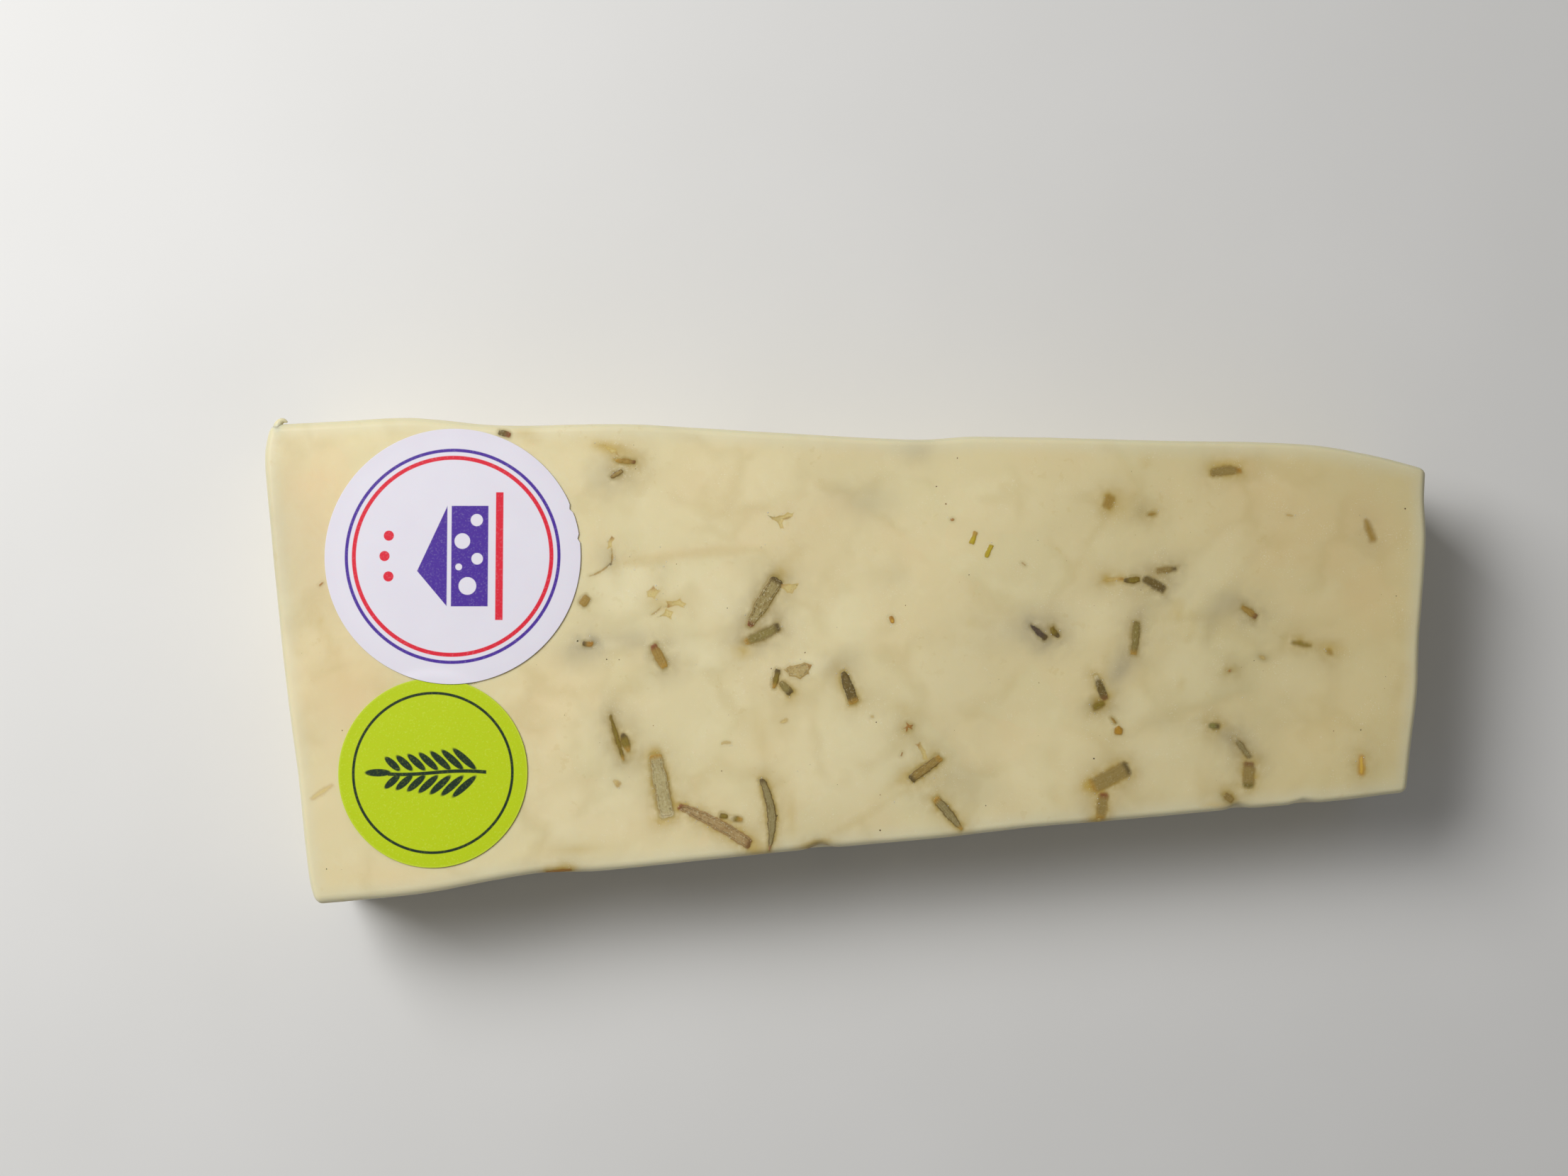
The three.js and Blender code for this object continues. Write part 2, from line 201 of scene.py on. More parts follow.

# %% [markdown]
# Rosemary is the cheese's main character. The knife went through it together with the curd,
# so it lies flush in the face, like an inlay: grey-green needles with dark rolled edges,
# brown twigs, olive flakes and seeds. Some pieces are at the surface and sharp, others lie
# under a film of cheese and are blurred by it. Each is one row here, read from the
# photographed face. Modelling them as loose leaves would make them stand out like logs, so
# they become colour and a faint relief of the slab itself.

# %% The rosemary that shows on the top face
# Each row: x, y, length, width, turn, bow, look, blur, the width left at each end from 0, a
# point, to 1, square, the stain of each end, and the halo in the cheese around it
ROSEMARY = [
    (-12, 8.2, 8.1, 2.1, 59, 0, "grey", 0.04, (0.35, 0.95), ("rust", "ink"), "grey"),
    (-12.2, 3.5, 5.6, 1.5, 25, 0, "moss", 0.2, (0.6, 0.9), ("gold", "ink"), "grey"),
    (-10.15, -2.95, 2.9, 0.9, -104, 0, "olive", 0.04, (1, 0.45), ("ink", "gold"), ""),
    (-8.7, -4.3, 2.4, 1.2, -47, 0, "moss", 0.08, (0.6, 0.9), ("", "ink"), "gold"),
    (-33.4, -11.6, 7, 0.8, -73, 0, "olive", 0.09, (0.3, 0.3), ("", "gold"), "grey"),
    (-32.15, -12.3, 2.8, 1.4, -72, 0, "olive", 0.16, (0.4, 0.3), ("ink", "gold"), "gold"),
    (-26.9, -18.6, 9.4, 2.3, -79, 0, "pale", 0.08, (0.75, 0.9), ("gold", "cream"), "gold"),
    (-19.1, -24.4, 12, 1.7, -28, 0.4, "twig", 0.12, (0.5, 1), ("rust", "bark"), "gold"),
    (-17.8, -23, 1.3, 0.85, -8, 0, "olive", 0.08, (0.7, 0.5), ("", ""), ""),
    (-16, -23.4, 2, 0.75, -10, 0, "olive", 0.14, (0.4, 0.5), ("cream", "gold"), ""),
    (-11.7, -22.8, 10.6, 1.35, -84, 0.9, "slate", 0.05, (0.6, 0.1), ("ink", "pink"), "gold"),
    (-27.3, 0.3, 3.8, 1.4, -61, 0, "tawny", 0.08, (0.7, 0.7), ("rust", "gold"), "grey"),
    (-37.8, 2.1, 1.6, 0.8, -4, 0, "tawny", 0.07, (0.7, 0.8), ("ink", "amber"), "mauve"),
    (-38.2, 8.4, 1.6, 1.2, 51, 0, "tawny", 0.1, (0.9, 0.9), ("", ""), ""),
    (-32.3, 29, 3, 0.8, -5, 0, "tawny", 0.06, (0.4, 0.6), ("gold", "bark"), "gold"),
    (-33.6, 27.1, 2, 0.8, 30, 0, "stripe", 0.06, (0.5, 0.7), ("", ""), "grey"),
    (0.5, -4.3, 4.9, 1.5, -70, 0, "dark", 0.05, (0.45, 1), ("", "gold"), "gold"),
    (11.7, -16.1, 5.6, 1.3, 37, 0, "stripe", 0.05, (1, 1), ("ink", "gold"), "gold"),
    (15.1, -22.7, 6.1, 1.3, -50, 0, "slate", 0.08, (0.8, 0.4), ("gold", "gold"), "gold"),
    (18.9, 17.7, 1.9, 0.8, 69, 0, "lime", 0.05, (1, 0.7), ("", "gold"), ""),
    (21.1, 15.7, 2.1, 0.8, 67, 0, "lime", 0.05, (0.8, 1), ("", ""), ""),
    (28.4, 3.8, 3, 1, -41, 0, "night", 0.12, (0.15, 0.8), ("", "ink"), "mauve"),
    (30.8, 3.9, 1.8, 0.9, -55, -0.15, "olive", 0.08, (0.8, 0.4), ("", "ink"), "grey"),
    (38.8, 23.1, 1.9, 1.3, 70, 0, "tawny", 0.32, (1, 0.9), ("", ""), "gold"),
    (56.1, 27.4, 4.6, 1.3, 4, 0.2, "bark", 0.22, (0.7, 0.4), ("", "amber"), "gold"),
    (42.1, 11.5, 2.4, 0.9, 5, 0, "olive", 0.06, (0.5, 0.7), ("ink", ""), ""),
    (45.4, 10.9, 3.6, 1.4, -30, 0, "dark", 0.24, (0.7, 0.9), ("", "ink"), "grey"),
    (47.2, 13, 2.9, 0.9, 8, 0, "bark", 0.22, (0.8, 0.5), ("", "ink"), "grey"),
    (59.3, 6.8, 2.8, 0.9, -35, 0, "tawny", 0.12, (0.7, 1), ("", "bark"), "grey"),
    (77.1, 18.8, 3.4, 1.1, -72, 0, "tawny", 0.42, (0.3, 0.8), ("", ""), "peach"),
    (42.5, 2.9, 4.9, 1.15, 83, 0, "moss", 0.12, (0.9, 0.8), ("gold", ""), "grey"),
    (37.4, -4.3, 3.8, 1.1, -68, 0, "dark", 0.14, (0.3, 1), ("cream", "bark"), "gold"),
    (54, -9.9, 1.6, 1, -4, 0, "green", 0.28, (0.5, 0.7), ("", "ink"), "gold"),
    (58, -13, 3.8, 0.8, -52, 0, "slate", 0.26, (0.3, 0.7), ("cream", ""), "grey"),
    (58.9, -17, 3.8, 1.7, 85, 0, "bark", 0.26, (0.95, 0.9), ("olive", "bark"), "gold"),
    (38.6, -17.4, 6.3, 2.2, 28, 0, "bark", 0.32, (0.95, 1), ("gold", "ink"), "gold"),
    (37.4, -21.6, 4, 1.35, -99, 0, "bark", 0.3, (1, 0.85), ("rust", "gold"), "gold"),
    (75.3, -15.6, 2.8, 0.8, 89, 0, "seed", 0.5, (0.6, 0.5), ("", ""), "gold"),
    (-50.2, 33.1, 1.9, 0.9, -17, 0, "dark", 0.08, (0.7, 0.7), ("", "rust"), ""),
    (66.9, 2.1, 2.8, 0.6, -12, 0, "olive", 0.4, (0.6, 0.3), ("", ""), "gold"),
    (71, 0.9, 0.8, 0.5, -50, 0, "tawny", 0.4, (0.6, 0.6), ("", ""), "gold"),
]


def top_bits(rows):
    """Rows as bits: a middle, a direction along, the way out of their face, and the rest."""
    made = []
    for x, y, long, wide, turn, bow, look, blur, ends, tips, halo in rows:
        angle = math.radians(turn)
        made.append({
            "middle": np.array([x, y, THICKNESS]), "up": UP,
            "along": np.array([math.cos(angle), math.sin(angle), 0]), "long": long, "wide": wide,
            "bow": bow, "look": look, "blur": blur, "ends": ends, "tips": tips, "halo": halo,
            "fine": True,
        })
    return made


print("rosemary pieces on the top face:", len(ROSEMARY))

# %% [markdown]
# Between the leaves there are small things: seeds, crumbs of red-brown stem, and places
# where the curd tore, which are thin amber lines with a pale yellow flap beside them. They
# use the same rows. A fold or a tear is a little lower than the face, which its look says.

# %% Small bits, tears and seams
SMALL_BITS = [
    (6.8, 5.7, 1.1, 0.65, -66, 0, "seed", 0.04, (0.8, 0.5), ("amber", ""), ""),
    (9.2, -10, 1.5, 0.32, 20, 0, "rust", 0.04, (0.2, 0.4), ("", ""), ""),
    (9.3, -9.9, 1.3, 0.3, -50, 0, "rust", 0.04, (0.3, 0.2), ("", ""), ""),
    (9, -10.2, 0.9, 0.3, 80, 0, "rust", 0.04, (0.4, 0.2), ("", ""), "gold"),
    (39.9, -10.5, 1.4, 1.4, -90, 0, "amber", 0.1, (0, 1), ("", ""), ""),
    (39.2, -9.1, 1.2, 0.4, -52, 0, "tawny", 0.06, (0.3, 0.8), ("", ""), ""),
    (37, -6.9, 1.9, 1, 28, 0, "olive", 0.26, (0.8, 0.7), ("", ""), "gold"),
    (55.9, -20.3, 1.6, 1, -40, 0, "bark", 0.14, (0.7, 0.7), ("", ""), "gold"),
    (15.8, 20.4, 0.5, 0.4, 0, 0, "rust", 0.06, (0.6, 0.6), ("", ""), ""),
    (65.4, 21, 0.9, 0.3, -10, 0, "straw", 0.06, (0.5, 0.5), ("", ""), ""),
    (45.1, 21.2, 1.1, 0.4, 10, 0, "tawny", 0.12, (0.5, 0.2), ("", ""), "gold"),
    (-76.9, 10.9, 0.7, 0.35, 40, 0, "rust", 0.08, (0.6, 0.6), ("", ""), ""),
    (-41.8, -31, 3.7, 0.5, 5, 0, "rust", 0.12, (0.5, 0.5), ("", ""), "gold"),
    (-4.1, -27.6, 2.9, 0.6, 9, 0, "rust", 0.14, (0.3, 0.7), ("", ""), "gold"),
    (-76.4, -19.5, 3.8, 0.8, 34, 0, "straw", 0.36, (0.4, 0.4), ("", ""), ""),
    (37, -23.5, 0.9, 0.7, 80, 0, "straw", 0.1, (0.8, 0.8), ("", ""), "gold"),
    (61.2, 0.1, 1, 0.5, -30, 0, "straw", 0.12, (0.5, 0.5), ("", ""), ""),
    (-33.4, -18.2, 1.3, 0.9, -40, 0, "straw", 0.16, (0.4, 0.9), ("", "gold"), ""),
    (26.2, 13.8, 0.7, 0.3, -40, 0, "rust", 0.04, (0.6, 0.6), ("", ""), ""),
    (8.2, -14, 0.6, 0.25, 70, 0, "rust", 0.04, (0.6, 0.6), ("", ""), ""),
    (-17.4, -12.4, 1.4, 0.5, 5, 0.1, "straw", 0.1, (0.5, 0.5), ("", ""), ""),
    (3.9, -8.5, 0.6, 0.5, 0, 0, "straw", 0.14, (0.8, 0.8), ("", ""), ""),
    (-9, -9.2, 1.1, 0.6, 20, 0, "straw", 0.16, (0.3, 0.9), ("", ""), ""),
    (56.3, -1.8, 0.4, 0.4, 0, 0, "rust", 0.12, (0.9, 0.9), ("", ""), "gold"),
    (-34.4, 14.9, 2.6, 0.28, -92, 0.2, "crack", 0.06, (0.5, 0.8), ("", "ink"), ""),
    (-36, 13, 3.6, 0.3, -148, 0.25, "crack", 0.06, (0.8, 0.4), ("ink", ""), ""),
    (-9.1, 20.85, 2.6, 0.22, 3, -0.35, "crack", 0.06, (0.4, 0.4), ("ink", ""), ""),
    (-27.7, 7, 2, 0.16, 40, -0.1, "crack", 0.1, (0.5, 0.5), ("", ""), ""),
    (-25.6, 7.9, 2.2, 0.14, 20, -0.1, "crack", 0.1, (0.5, 0.5), ("", ""), ""),
    (39.4, 11.5, 3, 0.5, 4, 0.1, "straw", 0.14, (0.2, 0.8), ("", "amber"), "gold"),
    (-18.4, 15.5, 13, 1.6, 4, 0.25, "seam", 0.5, (0.5, 0.3), ("", ""), ""),
    (-29.5, 14.4, 9, 1.6, 8, 0, "seam", 0.5, (0.5, 0.6), ("", ""), ""),
    (1.9, -23, 12, 1.4, 30, -0.5, "seam", 0.5, (0.4, 0.4), ("", ""), ""),
    (11, -18.7, 8, 1.2, 18, 0, "seam", 0.5, (0.4, 0.4), ("", ""), ""),
    (50.5, 4.6, 4.6, 1.2, -100, 0.4, "seam", 0.5, (0.4, 0.6), ("", ""), ""),
    (-14.4, 15.9, 0.22, 0.2, 0, 0, "pit", 0.03, (0.9, 0.9), ("", ""), ""),
    (-12.3, 16.3, 0.22, 0.2, 0, 0, "pit", 0.03, (0.9, 0.9), ("", ""), ""),
]
print("small bits, cracks and seams:", len(SMALL_BITS))

# %% [markdown]
# Where the curd tore, a thin flap of it dried to a see-through tan. A flap fills the space
# between round lumps, so its sides bend inwards and its corners run out in points. Bars
# can't show that, so each flap is a short outline, and each side is bent to its middle.

# %% Torn flaps
# Each row: the look, the blur, the stain at the first corner, how far the sides bend in as a
# share of their length, and the corners
TEARS = [
    ("flap", 0.12, "amber", 0.1, [
        (-28.2, 10.7), (-29.2, 9.8), (-29.1, 8.9), (-27.9, 8.7), (-27.1, 9.9),
    ]),
    ("flap", 0.07, "amber", 0.14, [
        (-26.1, 7.4), (-23.6, 7.4), (-23.3, 8), (-24.2, 8.9), (-26.4, 8.5),
    ]),
    ("flap", 0.07, "olive", 0.16, [
        (-27.7, 6), (-25.4, 5.6), (-25, 6.9), (-26.3, 7.4),
    ]),
    ("flap", 0.06, "olive", 0.14, [
        (-11.4, 21), (-10.7, 20.4), (-9.5, 19), (-8.9, 19), (-9, 20.5), (-7.7, 20.8), (-7.5, 21.4),
        (-8.4, 21.5), (-9.7, 21),
    ]),
    ("flap", 0.07, "amber", 0.1, [
        (-9.6, 11), (-8.4, 10.9), (-6.8, 11), (-7.2, 10.2), (-7.8, 9.5), (-8.5, 9.6), (-9.4, 10.4),
    ]),
    ("husk", 0.05, "amber", 0.06, [
        (-4.9, -1), (-6, -0.6), (-8.2, -1), (-9.1, -1.6), (-8.2, -2.6), (-6.6, -3), (-5.4, -2.3),
    ]),
    ("flap", 0.08, "amber", 0.12, [
        (-34.3, 18), (-35, 17.2), (-34.9, 16.1), (-34.1, 16.2), (-33.9, 17.7),
    ]),
    ("flap", 0.12, "amber", 0.1, [
        (10.3, -12.6), (11.3, -14.8), (12.3, -15), (11.8, -13.5), (10.9, -12.3),
    ]),
    ("flap", 0.16, "amber", 0.12, [
        (-33.2, 29.7), (-34.4, 30.2), (-36.4, 31.4), (-35.4, 31.7), (-33.6, 30.8),
    ]),
]
TEAR_STEPS = 5


def tear_outline(corners, bend_in):
    """A closed outline through the corners, every side of it bent towards the inside."""
    start = np.array(corners, float)
    stop = np.roll(start, -1, axis=0)
    run = stop - start
    turns_left = np.sum(start[:, 0] * stop[:, 1] - start[:, 1] * stop[:, 0]) > 0
    inwards = np.column_stack([-run[:, 1], run[:, 0]]) * (1 if turns_left else -1)
    share = np.linspace(0, 1, TEAR_STEPS + 1)[:-1, None]
    arch = 4 * share * (1 - share) * bend_in
    sides = [a + share * r + arch * i for a, r, i in zip(start, run, inwards)]
    return np.concatenate(sides)


def tear_bits(rows):
    """Tears as bits, which have an outline where a piece of herb has a length and a width."""
    made = []
    for look, blur, tip, bend_in, corners in rows:
        outline = tear_outline(corners, bend_in)
        middle = outline.mean(axis=0)
        made.append({
            "middle": np.append(middle, THICKNESS), "up": UP, "outline": outline,
            "long": 2 * np.linalg.norm(outline - middle, axis=1).max(), "look": look, "blur": blur,
            "tips": (tip, ""), "halo": "", "fine": True,
        })
    return made


print("torn flaps:", len(TEARS))

# %% [markdown]
# The photograph doesn't show the upright cuts, but the herb runs all through the cheese.
# Random places would leave gaps and heaps, so the solid spreads pieces over the four cuts by
# steps that never repeat, and the same steps are taken here.

# %% The rosemary on the four cuts
SIDE_STEP, HEIGHT_STEP, TURN_STEP = 0.618034, 0.754878, 137.5
SIDE_LENGTHS = [7.5, 3.2, 5.4, 2.4, 6.3]
WIDE_LEAST, WIDE_BY_LENGTH = 0.9, 0.12
SIDE_MARGIN = 0.08
SIDE_LOWEST, SIDE_SPREAD = 0.14, 0.7
SIDE_LEAN = 0.7
NEXT_SHARE = 0.01
# Each cut: the side its herb faces, and its number of pieces
SIDE_COUNTS = [(front_cut, 1, 7), (back_cut, -1, 6), (narrow_cut, 1, 2), (wide_cut, -1, 3)]
HIDDEN_LOOKS = ["grey", "bark", "moss", "olive", "dark", "pale", "twig"]
HIDDEN_ENDS = [(0.7, 0.95), (0.3, 0.8), (0.9, 1), (0.5, 0.2)]
HIDDEN_TIPS = [("rust", "ink"), ("", "gold"), ("gold", "ink"), ("ink", ""), ("", "bark")]
HIDDEN_BLURS = [0.08, 0.22, 0.12, 0.35]
HIDDEN_HALOS = ["gold", "grey", "gold", "mauve", ""]


def turn_of(choices, number):
    """The choice whose turn it is, round and round."""
    return choices[number % len(choices)]


def hidden_bit(number, middle, along, up):
    """A piece on a face that the photograph doesn't show, from its number."""
    long = turn_of(SIDE_LENGTHS, number)
    return {
        "middle": middle, "along": along / np.linalg.norm(along), "up": up, "long": long,
        "wide": WIDE_LEAST + WIDE_BY_LENGTH * long, "bow": 0, "look": turn_of(HIDDEN_LOOKS, number),
        "blur": turn_of(HIDDEN_BLURS, number), "ends": turn_of(HIDDEN_ENDS, number),
        "tips": turn_of(HIDDEN_TIPS, number), "halo": turn_of(HIDDEN_HALOS, number), "fine": False,
    }


def side_bits():
    bits = []
    for cut, outward, count in SIDE_COUNTS:
        for _ in range(count):
            number = len(bits) + 1
            share = SIDE_MARGIN + (1 - 2 * SIDE_MARGIN) * ((number * SIDE_STEP) % 1)
            height = THICKNESS * (SIDE_LOWEST + SIDE_SPREAD * ((number * HEIGHT_STEP) % 1))
            turn = math.radians(number * TURN_STEP)
            here, ahead = cut(share), cut(share + NEXT_SHARE)
            run = np.append((ahead - here) / np.hypot(*(ahead - here)), 0)
            up = np.array([run[1], -run[0], 0]) * outward
            along = run * math.cos(turn) + UP * SIDE_LEAN * math.sin(turn)
            bits.append(hidden_bit(number, np.append(here, height), along, up))
    return bits


print("pieces on the four cuts:", len(side_bits()))

# %% [markdown]
# The underside is as hidden as the cuts and has herb for the same reason. It has no start
# and end to walk along, so the two steps are shares along and across the plan, and every
# piece is turned by the angle that sunflowers use between two seeds.

# %% The rosemary on the underside
UNDER_COUNT = 34
UNDER_MARGINS = np.array([0.05, 0.08])


def under_bits():
    bits = []
    for number in range(1, UNDER_COUNT + 1):
        share = np.array([(number * SIDE_STEP) % 1, (number * HEIGHT_STEP) % 1])
        share = UNDER_MARGINS + (1 - 2 * UNDER_MARGINS) * share
        x, y = plan_point(share[:1], share[1:])[0]
        turn = math.radians(number * TURN_STEP)
        along = np.array([math.cos(turn), math.sin(turn), 0])
        bits.append(hidden_bit(number, np.array([x, y, 0.0]), along, -UP))
    return bits


bits = tear_bits(TEARS) + top_bits(ROSEMARY) + top_bits(SMALL_BITS) + side_bits() + under_bits()
print("pieces of herb and small bits in all:", len(bits))

# %% [markdown]
# Each look has a colour in its middle and one along its rim. It also says how strongly a
# dotted dark line runs inside the rim, how solid the piece is, how far it stands out of the
# face and how strongly it stains the cheese around it. The colours are matched to the
# photographed pieces. Nothing here is as green as fresh rosemary, because the leaf was dried
# and then soaked in whey.

# %% The looks of the herb
def look(middle, rim, line=0.0, solid=0.95, proud=0.06, stain=0.6):
    return {"middle": middle, "rim": rim, "line": line, "solid": solid, "proud": proud, "stain": stain}


LOOKS = {
    "grey": look(colour(165, 149, 97), colour(136, 112, 50), 0.9),
    "pale": look(colour(184, 172, 125), colour(158, 134, 78), 0.5),
    "slate": look(colour(152, 139, 92), colour(102, 82, 36), 0.25),
    "moss": look(colour(142, 127, 66), colour(126, 106, 50), 0.3),
    "green": look(colour(136, 132, 68), colour(112, 104, 46), 0.2),
    "olive": look(colour(132, 112, 26), colour(118, 94, 18)),
    "bark": look(colour(153, 131, 72), colour(136, 108, 46), 0.2),
    "tawny": look(colour(166, 135, 62), colour(158, 124, 48)),
    "twig": look(colour(172, 146, 98), colour(146, 110, 62), 0.7, 0.95, 0.06, 0.3),
    "stripe": look(colour(160, 134, 69), colour(120, 94, 38), 0.3),
    "dark": look(colour(110, 90, 36), colour(82, 66, 26), 0.4),
    "night": look(colour(83, 66, 52), colour(64, 52, 46)),
    "lime": look(colour(190, 168, 18), colour(176, 150, 14), 0, 0.95, 0.06, 0.1),
    "husk": look(colour(192, 170, 108), colour(170, 138, 62), 0.7, 0.85, 0.03, 0.3),
    "seed": look(colour(216, 174, 58), colour(182, 128, 32), 0, 0.95, 0.06, 0.3),
    "rust": look(colour(182, 126, 50), colour(160, 106, 36), 0, 0.85, 0.04, 0.3),
    "amber": look(colour(178, 132, 24), colour(158, 118, 22), 0, 0.95, 0.06, 0.3),
    "straw": look(colour(212, 188, 112), colour(190, 158, 88), 0, 0.7, 0, 0.2),
    "flap": look(colour(212, 192, 122), colour(200, 172, 92), 0, 0.8, -0.04, 0.08),
    "crack": look(colour(158, 126, 56), colour(174, 142, 72), 0, 0.8, -0.1, 0.25),
    "seam": look(colour(208, 190, 136), colour(208, 190, 136), 0, 0.4, 0, 0),
    # The pit's dark colour is painted shade in the tiny hole.
    "pit": look(colour(76, 62, 32), colour(76, 62, 32), 0, 0.95, -0.06, 0),
}
TIPS = {
    "rust": colour(134, 76, 36), "ink": colour(94, 76, 36), "gold": colour(178, 140, 58),
    "amber": colour(172, 124, 40), "bark": colour(126, 88, 44), "pink": colour(176, 132, 92),
    "cream": colour(204, 190, 148), "olive": colour(120, 104, 40),
}
print("looks:", ", ".join(LOOKS))

# %% [markdown]
# Around the herb the cheese is tinted: grey where a leaf runs on under the surface, and gold
# where its oil has bled. The grey round a piece is partly painted shade. Other tints have no
# leaf at the surface at all: hazes over sunk pieces, painted shade at the wide end and by the
# labels, milky patches, and peach clouds of richer curd. Noise alone could give such clouds,
# but not where the photographed cheese has them, so each is a row.

# %% Tints that lie in the cheese
# Each row: x, y, half its length and half its width, its turn, and its strength
CLOUDS = {
    "yellow": [
        (-76.2, 3.5, 5.4, 0.8, -66, 0.22), (-38.6, -27.6, 4.2, 0.6, 8, 0.3),
        (71.4, 1.6, 2.2, 0.8, -12, 0.3), (9, -7.6, 3, 1, -20, 0.22), (7.6, -18, 4, 0.8, 40, 0.2),
        (-12.4, -11, 0.9, 4, 8, 0.2), (-34.9, 31, 2.8, 0.9, -12, 0.75),
        (-47, 32.9, 2, 0.8, -10, 0.4), (-15, 1, 1.2, 0.9, 0, 0.6), (-27, 8, 2.4, 1.4, -10, 0.3),
        (-13.2, -28, 2.2, 1.4, -30, 0.6), (35.2, -18.6, 1.2, 1, 30, 0.8),
        (36.2, -24, 1.4, 0.8, 0, 0.6), (53.6, -21.4, 2, 0.4, 0, 0.4),
        (8.4, -17.4, 1.4, 0.9, 40, 0.3), (-8, -22.6, 0.8, 3.6, 6, 0.3),
        (56, 28.6, 2.2, 0.7, 5, 0.55), (-41.8, -30.9, 2.2, 0.6, 6, 0.7),
        (-4.6, -27, 2, 0.5, 14, 0.6), (-26.9, -23.9, 1.6, 0.7, 10, 0.6),
        (-27.9, -13.8, 1, 0.7, 10, 0.6), (49, -4, 0.5, 1, -15, 0.3), (-68, -3, 14, 2.4, 4, 0.08),
        (40.6, 22.4, 3.4, 2.4, 0, 0.25), (48.9, 7.4, 0.6, 1.5, 0, 0.4),
        (-9.6, 12.4, 1.5, 0.9, 59, 0.5), (44.2, 28.8, 0.8, 0.7, 0, 0.3),
    ],
    "olive": [
        (7.1, 12.3, 3, 2.6, 0, 0.1), (43.5, 21.7, 1.8, 1.8, 0, 0.16),
        (46.6, -9.5, 2.4, 1.2, 0, 0.12), (57, -1.7, 1.6, 1.6, 0, 0.12),
        (36.6, -6.8, 1.3, 1, 28, 0.45), (61.2, 0.1, 1.2, 0.7, -20, 0.3),
        (53.5, 3.6, 0.9, 2.6, -20, 0.15), (57.5, -5, 3, 1, 10, 0.1), (-9.9, 12, 0.8, 0.7, 59, 0.3),
        # The olive at x -38.6 beside the white label's rim is painted shadow of the label.
        (55.9, -20.6, 1.5, 0.9, -20, 0.35), (-38.6, 8.2, 1, 1.2, 0, 0.2),
    ],
    "haze_and_shade": [
        (-39, 1.2, 3.2, 2, 10, 0.4), (-31.8, 2.8, 2.6, 1.8, 0, 0.4), (10.7, 30.7, 2.6, 2, 0, 0.3),
        (3.3, 23, 4, 2.6, -10, 0.3), (17.4, -18.3, 6, 3.4, -30, 0.25),
        (-0.4, -1, 3.2, 2.2, 20, 0.35), (25.6, 4.6, 5, 2.6, 10, 0.25),
        (-34.8, 14.6, 1.6, 2, 10, 0.35), (40.2, -1.6, 3.6, 1.6, 62, 0.6),
        (38.4, -7.2, 1.8, 1.2, 0, 0.35), (54.4, 7, 2.8, 1.6, 30, 0.4),
        (58.6, -14.8, 1.2, 3, 0, 0.45), (56, -11.2, 2.6, 1.2, -40, 0.25),
        (56.8, 8.3, 3, 1.2, -20, 0.35), (-11, 5.4, 1.4, 2, 60, 0.2), (-35.5, 26.5, 3, 2.4, 0, 0.2),
        (40.6, -1.4, 2.4, 0.8, -125, 0.4), (56, -11.6, 2.4, 0.7, -38, 0.4),
        # The last two hazes on the next line are painted shade, which darkens the wide end and the
        # cheese round the green label.
        (43.4, 6, 1, 2.2, 10, 0.3), (-83, 17, 8, 15, 8, 0.3), (-68, -8, 8, 6, 0, 0.1),
    ],
    "milk": [
        (-32.6, 10.2, 4.6, 3.8, 20, 0.75), (-20.6, 9.2, 6.2, 5.4, 0, 0.45),
        (-21.6, 0.6, 4.4, 2.2, -8, 0.56), (-34.4, 1.9, 2.2, 1, 0, 0.45),
        (-1.3, 7.1, 6.4, 5, 0, 0.26), (-14, 18.4, 6, 3, 10, 0.19), (-28.3, 21.7, 6, 5, 0, 0.19),
        (-22.6, -8, 8.6, 5.6, 0, 0.22), (-39.8, -9.5, 6, 6, 0, 0.26),
        (-36.7, -23, 7.6, 4.4, 0, 0.41), (-0.2, -14.7, 8.8, 8, 0, 0.38),
        (14.3, -3.3, 6.6, 5.2, 0, 0.26), (36, 6.1, 5.6, 3.6, 10, 0.41),
        (42.2, -7.4, 2.6, 2.6, 0, 0.56), (47.7, -14.7, 7.8, 5, -10, 0.41),
        (28.9, -14.7, 6.6, 6.6, 0, 0.26), (54, 13, 9.4, 2.8, 44, 0.49),
        (50.8, -2.2, 4.2, 4.2, 0, 0.45), (65.4, -3.3, 5.2, 4.8, 0, 0.45),
        (-5.4, -1, 3, 1.8, 0, 0.52), (-34.6, 28, 3.4, 1.6, 20, 0.45),
        (51.4, -10, 1.6, 0.8, 0, 0.52), (22.4, 7.1, 6, 4.6, 0, 0.19), (68, 9, 5, 3.6, 0, 0.22),
        (-12, 26.4, 7, 4, 0, 0.15), (24, 23, 8, 4, 0, 0.19), (76, -4, 4, 5, 0, 0.26),
    ],
    "peach": [
        (76.3, 10.3, 2.4, 2.2, 0, 0.6), (-78.4, 25.5, 3, 2, 0, 0.7), (-77, 20, 6, 11, 8, 0.7),
        (-71.6, -6, 5, 6, 0, 0.7), (-43, -6, 7, 6, 0, 0.5), (66, 20, 15, 9, -10, 0.7),
        (73, -6, 9, 7, 0, 0.4), (-22, 15.6, 10, 1, 6, 0.5), (-17, 24, 12, 7, 0, 0.2),
        (-36, -24, 6, 3, 0, 0.35), (78, 10, 5, 9, 0, 0.6), (-66, -32, 9, 2, -8, 0.3),
        (-50, 27, 5, 4, 0, 0.4), (61, 25.5, 6, 3, -10, 0.6),
    ],
}
print("clouds of tint:", sum(len(rows) for rows in CLOUDS.values()))

# %% [markdown]
# All tints are soft, so they need no pattern of their own in the material. They are worked
# out for each point of the slab as numbers from 0 to 1, which the material turns into colour.
# Two clouds of one tint are laid over each other like films, and never come to more than 1.

